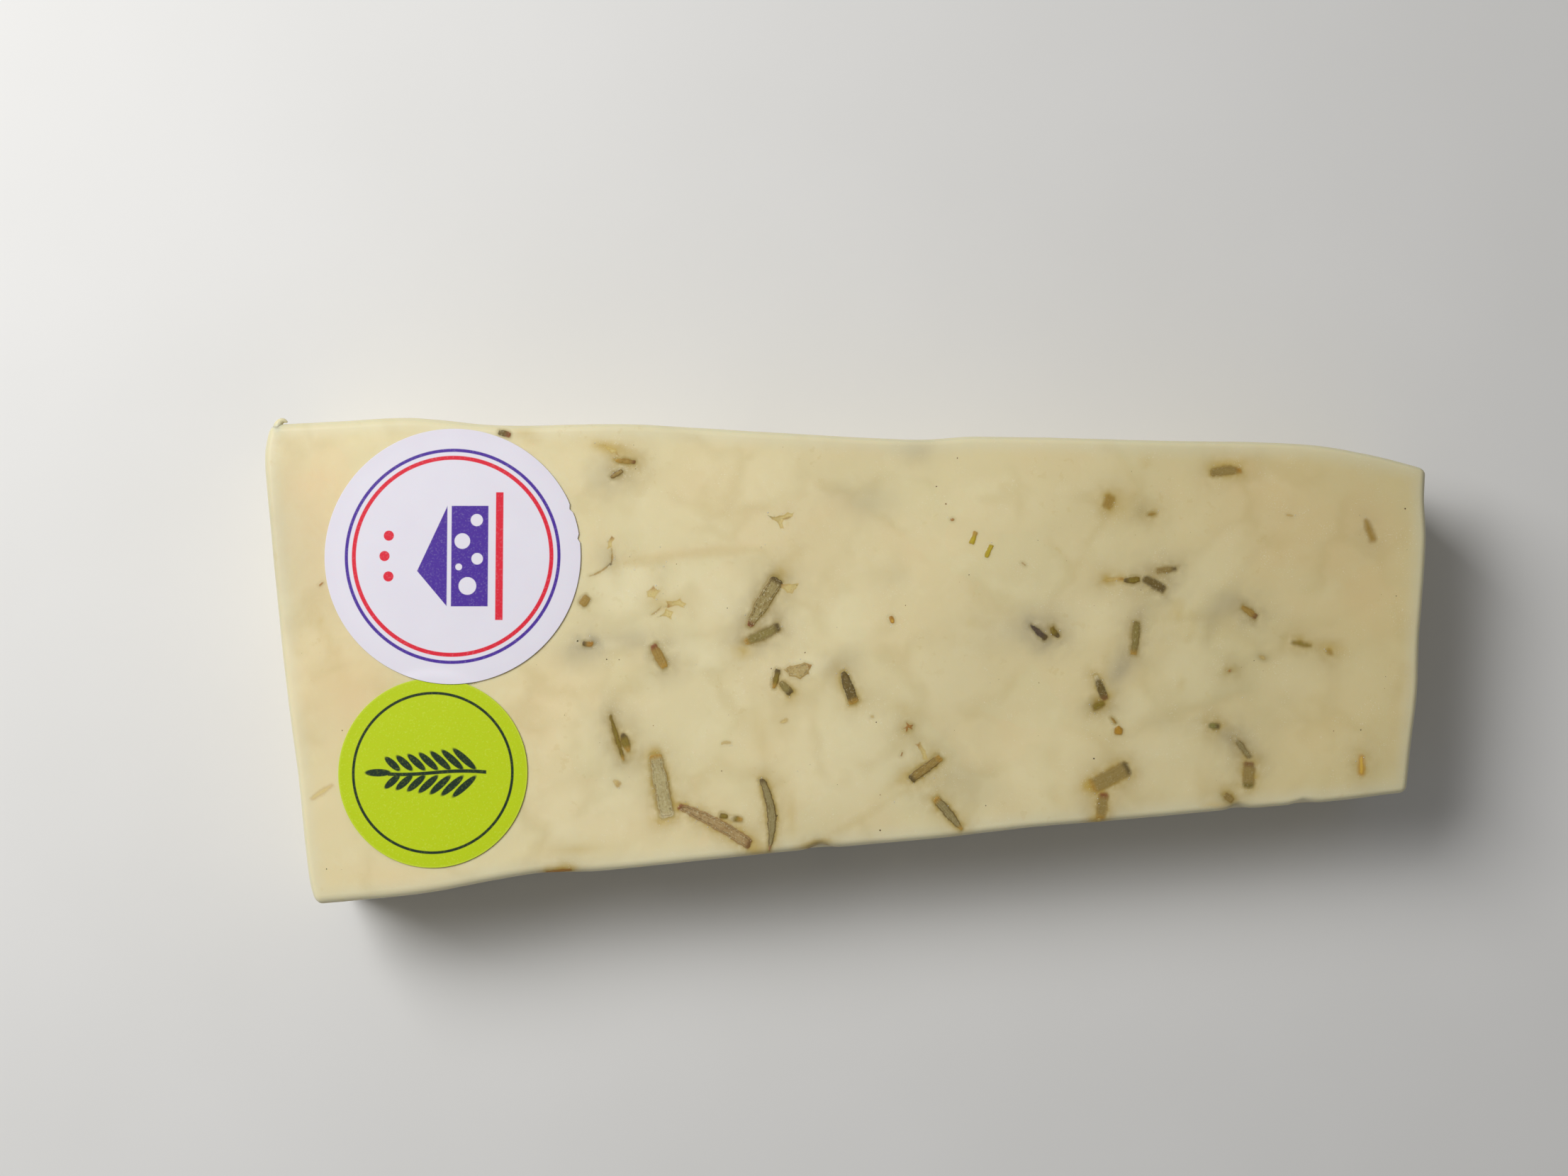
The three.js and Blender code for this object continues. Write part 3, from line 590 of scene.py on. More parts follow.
# %% Work out the tints at each point
CLOUD_DEPTH = 4
WOBBLES = [(3.2, 0.5), (1.1, 0.3)]
# The border round milk: its strength, and its place and width as shares of the cloud's size
BORDER, BORDER_AT, BORDER_WIDE = 0.09, 1.25, 0.25


def cloud_reach(points, x, y, half_long, half_wide, turn):
    """How far each point is from a cloud's middle, as a share of its size and squared."""
    angle = math.radians(turn)
    dx, dy = points[:, 0] - x, points[:, 1] - y
    along = (dx * math.cos(angle) + dy * math.sin(angle)) / half_long
    across = (dy * math.cos(angle) - dx * math.sin(angle)) / half_wide
    return along**2 + across**2


def add_tint(layer, cloud):
    """A tint with one more cloud in it, which never comes to more than 1."""
    return 1 - (1 - layer) * (1 - cloud)


def cloud_tints(points):
    """The hand-placed tints at each point, none of them deeper than a few millimetres.

    Milk fills its lump evenly up to a border of richer cheese, and the others fade from the
    middle.
    """
    layers = {name: np.zeros(len(points)) for name in CLOUDS}
    depth = np.exp(-(((points[:, 2] - THICKNESS) / CLOUD_DEPTH) ** 2))
    wobble = 1 + mixed_lumps(points, WOBBLES)
    for tint, rows in CLOUDS.items():
        for *form, strength in rows:
            reach = cloud_reach(points, *form) * wobble
            fade = reach**2 if tint == "milk" else reach
            layers[tint] = add_tint(layers[tint], strength * np.exp(-fade) * depth)
            if tint == "milk":
                off_border = (np.sqrt(reach) - BORDER_AT) / BORDER_WIDE
                border = BORDER * strength * np.exp(-(off_border**2)) * depth
                layers["olive"] = add_tint(layers["olive"], border)
    return layers


in_milk = cloud_tints(np.array([[-32.6, 10.2, THICKNESS]]))["milk"]
print("milk in the middle of the strongest patch:", in_milk.round(2))

# %% [markdown]
# To draw a leaf in the face, each point of the slab has to know how far it is from the
# leaf's outline. That distance is smooth, so the material can cut a sharp rim from it even
# where the mesh is coarser than the rim. A piece is a bent bar that narrows at its ends.

# %% How far a point is from a piece
FAR = 4.0
CORNER_ROUND = 0.55
NARROWS_OVER, NARROW_POWER = 0.5, 1.7
# A point this far above or below a piece's face isn't in the piece, and its least distance
FACE_REACH, OFF_FACE = 1, 0.1


def half_width(bit, share):
    """Half the width of a piece at shares of the way from its start to its end."""
    narrow = 1
    for end, where in zip(bit["ends"], (share, 1 - share)):
        narrow = narrow - (1 - end) * np.clip(1 - where / NARROWS_OVER, 0, 1) ** NARROW_POWER
    return bit["wide"] / 2 * narrow


def outline_gap(spots, outline):
    """Distances of spots in the plane from a closed outline, negative inside it."""
    stop = np.roll(outline, -1, axis=0)
    run = stop - outline
    offset = spots[:, None] - outline
    share = np.clip((offset * run).sum(axis=2) / (run**2).sum(axis=1), 0, 1)
    gap = np.linalg.norm(offset - share[..., None] * run, axis=2).min(axis=1)
    between = (outline[:, 1] > spots[:, 1:]) != (stop[:, 1] > spots[:, 1:])
    rise = np.where(run[:, 1] == 0, 1, run[:, 1])
    left_of = spots[:, :1] < outline[:, 0] + offset[..., 1] * run[:, 0] / rise
    inside = (between & left_of).sum(axis=1) % 2 == 1
    return np.where(inside, -gap, gap)


def bit_place(points, bit):
    """Each point's distance from the outline, negative inside, and its place along and across."""
    offset = points - bit["middle"]
    if "outline" in bit:
        gap = outline_gap(points[:, :2], bit["outline"])
        gap = np.where(abs(offset[:, 2]) < FACE_REACH, gap, FAR)
        from_first_corner = np.linalg.norm(points[:, :2] - bit["outline"][0], axis=1)
        return gap, from_first_corner - bit["long"] / 2, np.zeros(len(points))
    along = offset @ bit["along"]
    share = np.clip(along / bit["long"] + 0.5, 0, 1)
    across = offset @ np.cross(bit["up"], bit["along"]) - bit["bow"] * (1 - (2 * share - 1) ** 2)
    half = half_width(bit, share)
    round_by = CORNER_ROUND * half
    beside = abs(across) - half + round_by
    beyond = abs(along) - bit["long"] / 2 + round_by
    gap = np.hypot(np.maximum(beside, 0), np.maximum(beyond, 0))
    gap = gap + np.minimum(np.maximum(beside, beyond), 0)
    away = np.maximum(abs(offset @ bit["up"]) - FACE_REACH, 0)
    far_gap = np.hypot(np.maximum(gap, OFF_FACE), away)
    return np.where(away > 0, far_gap, gap - round_by), along, across


def points_near(points, bit):
    """The numbers of the points that a piece could reach."""
    return np.flatnonzero(np.linalg.norm(points - bit["middle"], axis=1) < bit["long"] / 2 + FAR)


def nearest_gap(points, wanted):
    gap = np.full(len(points), FAR)
    for bit in wanted:
        near = points_near(points, bit)
        gap[near] = np.minimum(gap[near], bit_place(points[near], bit)[0])
    return gap


print("gap at the big needle's middle:", nearest_gap(np.array([[-12.0, 8.2, THICKNESS]]), bits).round(2))

# %% [markdown]
# Now the slab itself. A cube with rounded edges could be bent by a lattice modifier, but
# plain arrays say more exactly where each point goes. The shell of a box is a grid of
# squares about a millimetre wide. Its edges are rounded by pulling each point to a set
# distance from an inner box. It stays one closed body.

# %% The slab's grid, as a straight box
STEPS = (170, 64, 24)
ROUND_STEPS = [1 - math.tan(math.radians(angle)) for angle in (45, 30, 15, 0)]
OUTWARD_AT_HIGH_END = (True, False, True)
LENGTH = NARROW_BACK[0] - WIDE_BACK[0]
WIDTH = (WIDE_BACK[1] - WIDE_FRONT[1] + NARROW_BACK[1] - NARROW_FRONT[1]) / 2
SIZES = np.array([LENGTH, WIDTH, THICKNESS])
NOT_ZERO = 1e-9


def box_shell(steps):
    """Whole-number corners and quads of the skin of a box, every quad facing out."""
    number = np.full([n + 1 for n in steps], -1)
    place = np.indices(number.shape)
    skin = np.any([(place[a] == 0) | (place[a] == steps[a]) for a in range(3)], axis=0)
    number[skin] = np.arange(skin.sum())
    quads = []
    for axis in range(3):
        for end in (0, -1):
            side = np.take(number, end, axis=axis)
            ring = [side[:-1, :-1], side[1:, :-1], side[1:, 1:], side[:-1, 1:]]
            quad = np.stack(ring, axis=-1).reshape(-1, 4)
            faces_out = (end == -1) == OUTWARD_AT_HIGH_END[axis]
            quads.append(quad if faces_out else quad[:, ::-1])
    return place[:, skin].T, np.concatenate(quads)


def grid_lines(steps, size):
    """Where the grid lines lie, the first and last few of them on the round edges."""
    rounds = len(ROUND_STEPS) - 1
    edge = np.array(ROUND_STEPS) * EDGE_RADIUS
    flat = np.linspace(EDGE_RADIUS, size - EDGE_RADIUS, steps - 2 * rounds + 1)
    return np.concatenate([edge[:-1], flat, size - edge[:-1][::-1]])


def round_box(corners):
    """The corner numbers as points of a box with rounded edges."""
    lines = [grid_lines(n, size) for n, size in zip(STEPS, SIZES)]
    raw = np.stack([lines[a][corners[:, a]] for a in range(3)], axis=1)
    core = np.clip(raw, EDGE_RADIUS, SIZES - EDGE_RADIUS)
    out = raw - core
    length = np.linalg.norm(out, axis=1, keepdims=True)
    return core + out * np.minimum(1, EDGE_RADIUS / np.maximum(length, NOT_ZERO))


corners, shell_quads = box_shell(STEPS)
print("points and quads of the plain grid:", len(corners), len(shell_quads))

# %% [markdown]
# The box is bent to the plan, and two forms are laid on it: the relief of the top face, and
# small breaks in the front edge where crumbs came away. The bending is a function of its
# own, because the next step needs it before the grid is complete.

# %% Bend the box into the slab
# Each nick: its share of the way along the front edge, its depth and its width
FRONT_NICKS = [(0.463, 0.7, 1.6), (0.845, 0.5, 1.2), (0.905, 0.5, 1.4)]
NICK_REACH = 5
NICK_FADE = 0.08
RELIEF_FROM = 0.7 * THICKNESS


def nick_depth(s, t, z):
    length = NARROW_FRONT[0] - WIDE_FRONT[0]
    fade = smooth_step(THICKNESS - NICK_REACH, THICKNESS, z) * (1 - smooth_step(0, NICK_FADE, t))
    dents = [deep * np.exp(-(((s - share) * length / wide) ** 2)) for share, deep, wide in FRONT_NICKS]
    return fade * sum(dents)


def bend(box):
    """Points of the straight box, moved to where they are on the slab."""
    s, t = box[:, 0] / LENGTH, box[:, 1] / WIDTH
    points = np.column_stack([plan_point(s, t), box[:, 2]])
    points[:, 1] += nick_depth(s, t, box[:, 2])
    fade = smooth_step(RELIEF_FROM, THICKNESS, box[:, 2])
    points[:, 2] += relief(points[:, 0], points[:, 1]) * fade
    return points


print("the middle of the top face:", bend(np.array([[LENGTH / 2, WIDTH / 2, THICKNESS]])).round(2))

# %% [markdown]
# A grid of one millimetre is fine for the cheese, but a rosemary leaf is only a millimetre
# or two wide. So the squares near the herb are halved, and the ones at its outlines halved
# again and again, down to an eighth. Blender's own subdivide keeps the mesh closed where
# fine squares meet coarse ones.

# %% Halve the squares near the herb
# Each row: how near the herb the squares are halved, the shortest edge that is still cut,
# and whether the hidden faces are cut too
HALVINGS = [(1.3, 0.6, True), (0.7, 0.3, True), (0.35, 0.17, False)]


def halve_near_herb(box, quads):
    mesh = bpy.data.meshes.new("grid")
    mesh.from_pydata(box.tolist(), [], quads.tolist())
    grid = bmesh.new()
    grid.from_mesh(mesh)
    for reach, shortest, hidden in HALVINGS:
        wanted = [bit for bit in bits if hidden or bit["fine"]]
        points = bend(np.array([v.co for v in grid.verts]))
        near = nearest_gap(points, wanted) < reach
        grid.verts.index_update()
        long = [edge for edge in grid.edges if edge.calc_length() > shortest]
        cut = [edge for edge in long if near[[v.index for v in edge.verts]].any()]
        bmesh.ops.subdivide_edges(grid, edges=cut, cuts=1, use_grid_fill=True, use_single_edge=True)
        print("cut", len(cut), "edges within", reach, "mm of the herb")
    grid.verts.index_update()
    points = np.array([v.co for v in grid.verts])
    faces = [[v.index for v in face.verts] for face in grid.faces]
    grid.free()
    bpy.data.meshes.remove(mesh)
    return points, faces


box, slab_faces = halve_near_herb(round_box(corners), shell_quads)
slab = bend(box)
core = np.clip(box, EDGE_RADIUS, SIZES - EDGE_RADIUS)
outwards = (box - core) / np.linalg.norm(box - core, axis=1, keepdims=True)
print("points and faces of the slab:", len(slab), len(slab_faces))

# %% [markdown]
# A piece isn't one colour along its length. Its cut ends are stained within a millimetre,
# rusty, nearly black or golden. A third colour with a mask of its own would do it too, but
# here the colours of the middle and of the rim just turn into the stain near an end.

# %% The colours along a piece
TIP_REACH = (0.15, 1.1)


def blend(first, second, share):
    """A colour between two others, at shares of the way to the second."""
    return first + (np.asarray(second) - first) * np.asarray(share)[..., None]


def bit_tones(bit, along):
    """The colours of a piece's middle and rim at places along it."""
    kind = LOOKS[bit["look"]]
    tones = []
    for base in (kind["middle"], kind["rim"]):
        tone = np.broadcast_to(base, (len(along), 3))
        for tip, distance in zip(bit["tips"], (along + bit["long"] / 2, bit["long"] / 2 - along)):
            if tip:
                tone = blend(tone, TIPS[tip], 1 - smooth_step(*TIP_REACH, distance))
        tones.append(tone)
    return tones


print("stains at the ends of the pieces:", ", ".join(TIPS))

# %% [markdown]
# Each point now gets its marks: the distance to the nearest outline, the colours of that
# piece there, and its place on the leaf in millimetres, which lets the material lay streaks
# along the leaf. The tints round each piece join the clouds.

# %% Press the herb into the slab
TORN_BY = 0.1
TORN_LUMPS = [(1.3, 1), (0.55, 0.6)]
UNEVEN_LUMPS, UNEVEN_LIMITS = [(1.5, 0.9), (0.5, 0.5)], (0.1, 2)
HALO_MOST = 0.85
# A piece with this blur or more lies so deep that it doesn't stand out of the face
SUNK_BLUR = 0.3
# The numbers of two pieces lie this far apart, so that their streaks differ
NUMBER_STEP = 7.3
# Each halo: the tints in it, their strengths, and how far they reach in millimetres
# The haze in a halo is partly painted shade round the piece.
HALOS_AROUND = {
    "grey": [("haze_and_shade", 0.6, 1.4), ("yellow", 0.28, 0.8)],
    "mauve": [("haze_and_shade", 0.8, 1.3)],
    "gold": [("yellow", 0.55, 0.8), ("haze_and_shade", 0.32, 1.4)],
    "peach": [("peach", 0.9, 2.2), ("haze_and_shade", 0.2, 1.4)],
    "": [],
}


def press_herb(points, layers):
    """Adds the halos to the tint layers and returns the marks of the nearest piece."""
    marks = {name: np.zeros(len(points)) for name in ("blur", "line", "solid", "proud", "stain")}
    marks["gap"] = np.full(len(points), FAR)
    colours = {name: np.zeros((len(points), 3)) for name in ("tone", "rim", "leaf")}
    uneven = np.clip(1 + mixed_lumps(points, UNEVEN_LUMPS), *UNEVEN_LIMITS)
    torn = TORN_BY * mixed_lumps(points, TORN_LUMPS)
    for number, bit in enumerate(bits):
        near = points_near(points, bit)
        gap, along, across = bit_place(points[near], bit)
        gap = gap + torn[near] * min(1, bit.get("wide", 1))
        for tint, strength, reach in HALOS_AROUND[bit["halo"]]:
            cloud = strength * np.exp(-np.maximum(gap, 0) / reach) * uneven[near]
            layers[tint][near] = add_tint(layers[tint][near], np.clip(cloud, 0, HALO_MOST))
        closer = gap < marks["gap"][near]
        mine, along, across = near[closer], along[closer], across[closer]
        marks["gap"][mine] = gap[closer]
        kind = LOOKS[bit["look"]]
        marks["blur"][mine] = bit["blur"]
        for name in ("line", "solid", "stain"):
            marks[name][mine] = kind[name]
        marks["proud"][mine] = kind["proud"] * max(0, 1 - bit["blur"] / SUNK_BLUR)
        colours["tone"][mine], colours["rim"][mine] = bit_tones(bit, along)
        own_number = np.full(len(mine), number * NUMBER_STEP)
        colours["leaf"][mine] = np.column_stack([along, across, own_number])
    return marks, colours


tints = cloud_tints(slab)
marks, tones = press_herb(slab, tints)
print("points inside an outline:", int((marks["gap"] < 0).sum()))

# %% [markdown]
# Last come the fine forms. Low lumps of curd cover every face. A leaf at the surface stands
# a few hundredths of a millimetre out of the cut, and a tear is sunk a little. The
# underside stays flat, because the board has pressed it.

# %% The fine relief
LUMP_SIZES = [(7.0, 0.05), (2.4, 0.03)]
# The lumps are sunk by this share of their height, to stay inside the solid's box
LUMP_SINK = 0.5
RIM_RISE = (-0.05, 0.2)
LEAF_LUMPS = [(0.4, 0.5)]
fine_lumps = sum(height * (lumps(slab, size) - LUMP_SINK) for size, height in LUMP_SIZES)
leaf_lift = marks["proud"] * smooth_step(*RIM_RISE, -marks["gap"]) * (1 + mixed_lumps(slab, LEAF_LUMPS))
slab = slab + outwards * (fine_lumps + leaf_lift)[:, None]
slab[:, 2] = np.maximum(slab[:, 2], 0)
print("slab from", slab.min(axis=0).round(2), "to", slab.max(axis=0).round(2))

# %% [markdown]
# One function makes every piece. It takes points in millimetres, faces, and layers of
# numbers or colours that go with the points, and it says which body the piece rides on,
# which solid it stands for and which material slot it wears.

# %% Make a piece from points, faces and layers
def make_piece(name, points, faces, finish, stands_for, numbers=None, colours=None):
    mesh = bpy.data.meshes.new(name)
    mesh.from_pydata((np.asarray(points) * MM).tolist(), [], [list(map(int, f)) for f in faces])
    mesh.validate()
    mesh.polygons.foreach_set("use_smooth", [True] * len(mesh.polygons))
    for key, values in (numbers or {}).items():
        layer = mesh.attributes.new(key, "FLOAT", "POINT")
        layer.data.foreach_set("value", np.asarray(values, np.float32))
    for key, values in (colours or {}).items():
        layer = mesh.attributes.new(key, "FLOAT_VECTOR", "POINT")
        layer.data.foreach_set("vector", np.asarray(values, np.float32).ravel())
    mesh.materials.append(finish)
    piece = bpy.data.objects.new(name, mesh)
    bpy.context.scene.collection.objects.link(piece)
    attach(piece, "root")
    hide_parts(stands_for)
    triangles = sum(len(p.vertices) - 2 for p in mesh.polygons)
    print(name, "has", len(mesh.vertices), "points and", triangles, "triangles")


print("each piece says what it rides on, its slot and the solid that it replaces")

# %% [markdown]
# Materials are written as sums. A wire is one output of a node, and adding or multiplying
# wires adds a Math node for them, so that a mask reads like the formula it is. The nodes
# could be placed one by one instead, but then the formula would be lost among them.

# %% A small class for shader sums
class Wire:
    """One output socket of a material's node tree."""

    def __init__(self, finish, socket):
        self.finish = finish
        self.socket = socket

    def maths(self, operation, *others):
        inputs = dict(enumerate([self, *others]))
        return self.finish.add("ShaderNodeMath", {"operation": operation}, inputs)

    def __add__(self, other):
        return self.maths("ADD", other)

    def __sub__(self, other):
        return self.maths("SUBTRACT", other)

    def __mul__(self, other):
        return self.maths("MULTIPLY", other)

    def __truediv__(self, other):
        return self.maths("DIVIDE", other)

    def __pow__(self, other):
        return self.maths("POWER", other)

    def __rsub__(self, other):
        return self * -1 + other

    def __abs__(self):
        return self.maths("ABSOLUTE")

    __radd__ = __add__
    __rmul__ = __mul__

    def most(self, other):
        return self.maths("MAXIMUM", other)

    def root(self):
        return self.maths("SQRT")

    def rise(self, low, high):
        """0 below low, 1 above high and a soft step between them."""
        settings = {"interpolation_type": "SMOOTHSTEP"}
        return self.finish.add("ShaderNodeMapRange", settings, {0: self, 1: low, 2: high})

    def below(self, level, soft=0.06):
        """1 where the value is under a level, with a thin soft edge."""
        return 1 - self.rise(level - soft, level + soft)


print("signs that make a Math node: + - * / ** abs")

# %% [markdown]
# A finish is one material. Every node in it comes from one method, which takes the node's
# type, its settings and its inputs. Colours go through Mix nodes, because a Math node would
# turn them grey. The other methods are the few patterns that cheese and paper are made of:
# soft clouds, cells that differ, the seams between cells, and bumps.

# %% A class for a material in the making
class Finish:
    """A material in the making."""

    def __init__(self, name):
        self.material = bpy.data.materials.new(name)
        self.material.use_nodes = True
        self.tree = self.material.node_tree
        self.tree.nodes.clear()

    def add(self, kind, settings=None, inputs=None, output=0):
        """A node of any kind. Its settings are set first, then values and links go in."""
        node = self.tree.nodes.new(kind)
        for key, value in (settings or {}).items():
            setattr(node, key, value)
        for key, value in (inputs or {}).items():
            self.put(node.inputs[key], value)
        return Wire(self, node.outputs[output]) if node.outputs else None

    def put(self, socket, value):
        """Links a wire to a socket, or sets the socket to a value."""
        if isinstance(value, Wire):
            self.tree.links.new(value.socket, socket)
        elif isinstance(value, tuple) and socket.type == "RGBA":
            socket.default_value = (*value[:3], 1)
        else:
            socket.default_value = value

    def place(self):
        """Where a point is on the piece, in millimetres."""
        spot = self.add("ShaderNodeTexCoord", output=3)
        return self.add("ShaderNodeVectorMath", {"operation": "SCALE"}, {0: spot, 3: 1 / MM})

    def axes(self, vector):
        return [self.add("ShaderNodeSeparateXYZ", None, {0: vector}, k) for k in range(3)]

    def layer(self, name, output=2):
        """A number, or with output 1 a colour or a place, that goes with the piece's points."""
        return self.add("ShaderNodeAttribute", {"attribute_name": name}, output=output)

    def mix(self, share, first, second, blend="MIX"):
        settings = {"data_type": "RGBA", "blend_type": blend}
        return self.add("ShaderNodeMix", settings, {0: share, 6: first, 7: second}, 2)

    def cloud(self, place, size, detail=2.0, rough=0.5):
        """Soft noise from 0 to 1 with patches of this size in millimetres."""
        values = {"Vector": place, "Scale": 1 / size, "Detail": detail, "Roughness": rough}
        return self.add("ShaderNodeTexNoise", None, values)

    def join(self, x, y, z):
        return self.add("ShaderNodeCombineXYZ", None, {0: x, 1: y, 2: z})

    def seams(self, place, size):
        """The distance to the nearest border between cells, in millimetres."""
        settings = {"feature": "DISTANCE_TO_EDGE"}
        return self.add("ShaderNodeTexVoronoi", settings, {"Vector": place, "Scale": 1 / size}) * size

    def lot(self, place, size):
        """A number from 0 to 1 that differs from cell to cell."""
        cell = self.add("ShaderNodeTexVoronoi", None, {"Vector": place, "Scale": 1 / size}, 1)
        return self.add("ShaderNodeSeparateColor", None, {0: cell}, 0)

    def bumps(self, height, strength, distance):
        values = {"Height": height, "Strength": strength, "Distance": distance * MM}
        return self.add("ShaderNodeBump", None, values)

    def finish(self, **inputs):
        """Ends the tree in a Principled shader with these inputs."""
        sockets = {key.replace("_", " "): value for key, value in inputs.items()}
        shader = self.add("ShaderNodeBsdfPrincipled", None, sockets)
        self.add("ShaderNodeOutputMaterial", None, {0: shader})
        print(self.material.name, "uses", len(self.tree.nodes), "nodes")
        return self.material


print("methods of a finish:", ", ".join(name for name in vars(Finish) if name[0] != "_"))

# %% [markdown]
# Cheddar is pale and a little see-through: light goes in and comes out a millimetre or two
# away, which blurs every small shadow. Subsurface scattering does that. The colour is built
# up as the cheese was: knit lumps of curd that differ a little, richer and milkier clouds,
# and faint seams between them. Light and shade are painted on it too: darker and yellower
# towards the narrow end, away from the lamp, paler and greener a few millimetres inside the
# edges, where light shines through them, and greyer at the very edge, in shade.

# %% The colour of the cheese
CREAM, PEACH, MILK = colour(222, 210, 165), colour(227, 204, 156), colour(231, 221, 181)
# The first colour here is grey haze over sunk pieces and also painted shade.
HAZE_AND_SHADE, OIL, OLIVE = colour(152, 142, 118), colour(192, 162, 74), colour(116, 98, 40)
# The first colour here is painted shade, darker and yellower, for the narrow end away from the lamp.
FAR_END_SHADE, SEAM_TONE = colour(199, 183, 126), colour(196, 176, 118)
# The two edge colours are painted: a pale glow where light shines through the edge, and grey shade on
# the very edge.
EDGE_PAINTED_GLOW, EDGE_PAINTED_SHADE = colour(215, 211, 182), colour(190, 192, 164)
# Lumps of curd: their size, how far their borders are stirred, and how much they differ
CURD_SIZE, CURD_STIR, CURD_SHARE = 13, 7, 0.25
# Each kind of patch: its size, the levels between which it rises, and its share
RICH_SIZE, RICH_RISE, RICH_SHARE = 14, (0.45, 0.75), 0.25
MILKY_SIZE, MILKY_RISE, MILKY_SHARE = 6, (0.5, 0.64), 0.2
SEAM_SIZE, SEAM_RISE, SEAM_SHARE = 11, (0.42, 0.6), 0.26
SEAM_HALF = 0.9
# Painted shade: the cheese is darker and yellower towards the narrow end, away from the lamp,
# between these places along the slab
FAR_END_SHADE_RISE, FAR_END_SHADE_SHARE = (-10, 100), 0.5
# Each band along the edges, painted light inside them and painted shade at the very edge:
# half its width and its share
PAINTED_GLOW_BAND, PAINTED_GLOW_SHARE = 1.7, 0.6
EDGE_SHADE_BAND, EDGE_SHADE_SHARE = 0.3, 0.7


def curd_tone(finish, place):
    """Lumps of curd, rich and milky clouds, seams, and painted shade that darkens the narrow end."""
    values = {"Vector": place, "Scale": 1 / CURD_STIR, "Detail": 3.0}
    stir = finish.add("ShaderNodeTexNoise", None, values, 1)
    settings = {"operation": "MULTIPLY_ADD"}
    bent = finish.add("ShaderNodeVectorMath", settings, {0: stir, 1: (CURD_STIR,) * 3, 2: place})
    curd = finish.lot(bent, CURD_SIZE) * CURD_SHARE
    rich = finish.cloud(place, RICH_SIZE).rise(*RICH_RISE) * RICH_SHARE
    milky = finish.cloud(bent, MILKY_SIZE, 5.0, 0.6).rise(*MILKY_RISE) * MILKY_SHARE
    seam = finish.seams(bent, CURD_SIZE).below(SEAM_HALF, SEAM_HALF)
    seam = seam * finish.cloud(place, SEAM_SIZE).rise(*SEAM_RISE)
    shade_towards_narrow_end = finish.axes(place)[0].rise(*FAR_END_SHADE_RISE)
    tone = finish.mix(curd + rich + finish.layer("peach"), CREAM, PEACH)
    tone = finish.mix(milky + finish.layer("milk"), tone, MILK)
    # Painted shade: darker and yellower towards the narrow end.
    tone = finish.mix(shade_towards_narrow_end * FAR_END_SHADE_SHARE, tone, FAR_END_SHADE)
    return finish.mix(seam * SEAM_SHARE, tone, SEAM_TONE)


def edge_painted_light(finish, tone):
    """Painted light, paler and greener, a few millimetres inside the edges, and painted shade, greyer,
    at the very edge.
    """
    edge = finish.layer("edge")
    tone = finish.mix(edge.below(PAINTED_GLOW_BAND, PAINTED_GLOW_BAND) * PAINTED_GLOW_SHARE, tone, EDGE_PAINTED_GLOW)
    return finish.mix(edge.below(EDGE_SHADE_BAND, EDGE_SHADE_BAND) * EDGE_SHADE_SHARE, tone, EDGE_PAINTED_SHADE)


print("cream, peach and milk as light:", np.round([CREAM, PEACH, MILK], 2).tolist())

# %% [markdown]
# Over the curd lie the tints, and in it the herb. The distance to a leaf's outline is made
# uneven by a fine noise, and then cut: wide and soft for a piece under the surface, sharp
# for one in it. Inside the cut come the rim, the pale middle, streaks that run along the
# leaf, the dotted dark line where its edge is rolled under, and a painted highlight where
# the leaf looks wet.

# %% The colour of the herb
RAGGED, RAGGED_SIZE = 0.4, 0.8
FINE_SIZE = 0.45
# The third colour is a painted highlight, the pale sheen of a wet leaf.
FRINGE, WHITE_FLECK_GLINT, WET_SHEEN = colour(146, 126, 54), colour(240, 236, 216), colour(206, 196, 158)
PORE, STREAK = colour(92, 72, 28), colour(190, 170, 122)
# The cut at the outline: how far out and in it is soft, alone and for each step of blur
SOFT_OUT, SOFT_IN, BLUR_IN = 0.04, 0.05, 1.1
# How far inside the outline the rim's colour gives way, and where the dark line lies
RIM_RISE_IN = (0.05, 0.28)
LINE_FROM, LINE_TO = 0.24, 0.42
LINE_SOFT_FROM, LINE_SOFT_TO = 0.07, 0.05
STREAK_LONG, STREAK_WIDE, STREAK_RISE, STREAK_SHARE = 1.6, 0.16, (0.4, 0.7), 0.34
MOTTLE_SIZE, MOTTLE_RISE, MOTTLE_SHARE = 0.6, (0.5, 0.6), 0.6
DOT_SIZE, DOT_RISE, DOT_SHARE = 0.3, (0.4, 0.56), 0.8
PORE_SIZE, PORE_BELOW, PORE_SHARE = 0.2, 0.38, 0.3
WET_SHEEN_SIZE, WET_SHEEN_RISE = 0.35, (0.56, 0.66)
SHEEN_ON_LINED, SHEEN_ON_ALL = 0.5, 0.08
FRINGE_RISE, FRINGE_BLUR = (-0.6, 0.05), 2
# Detail shows on pieces with less blur than this
CRISP_BLUR, CRISP_SOFT = 0.35, 0.3


def leaf_grain(finish, place, size):
    """Fine noise for what lies on a leaf."""
    return finish.cloud(place, size, 3.0, 0.6)


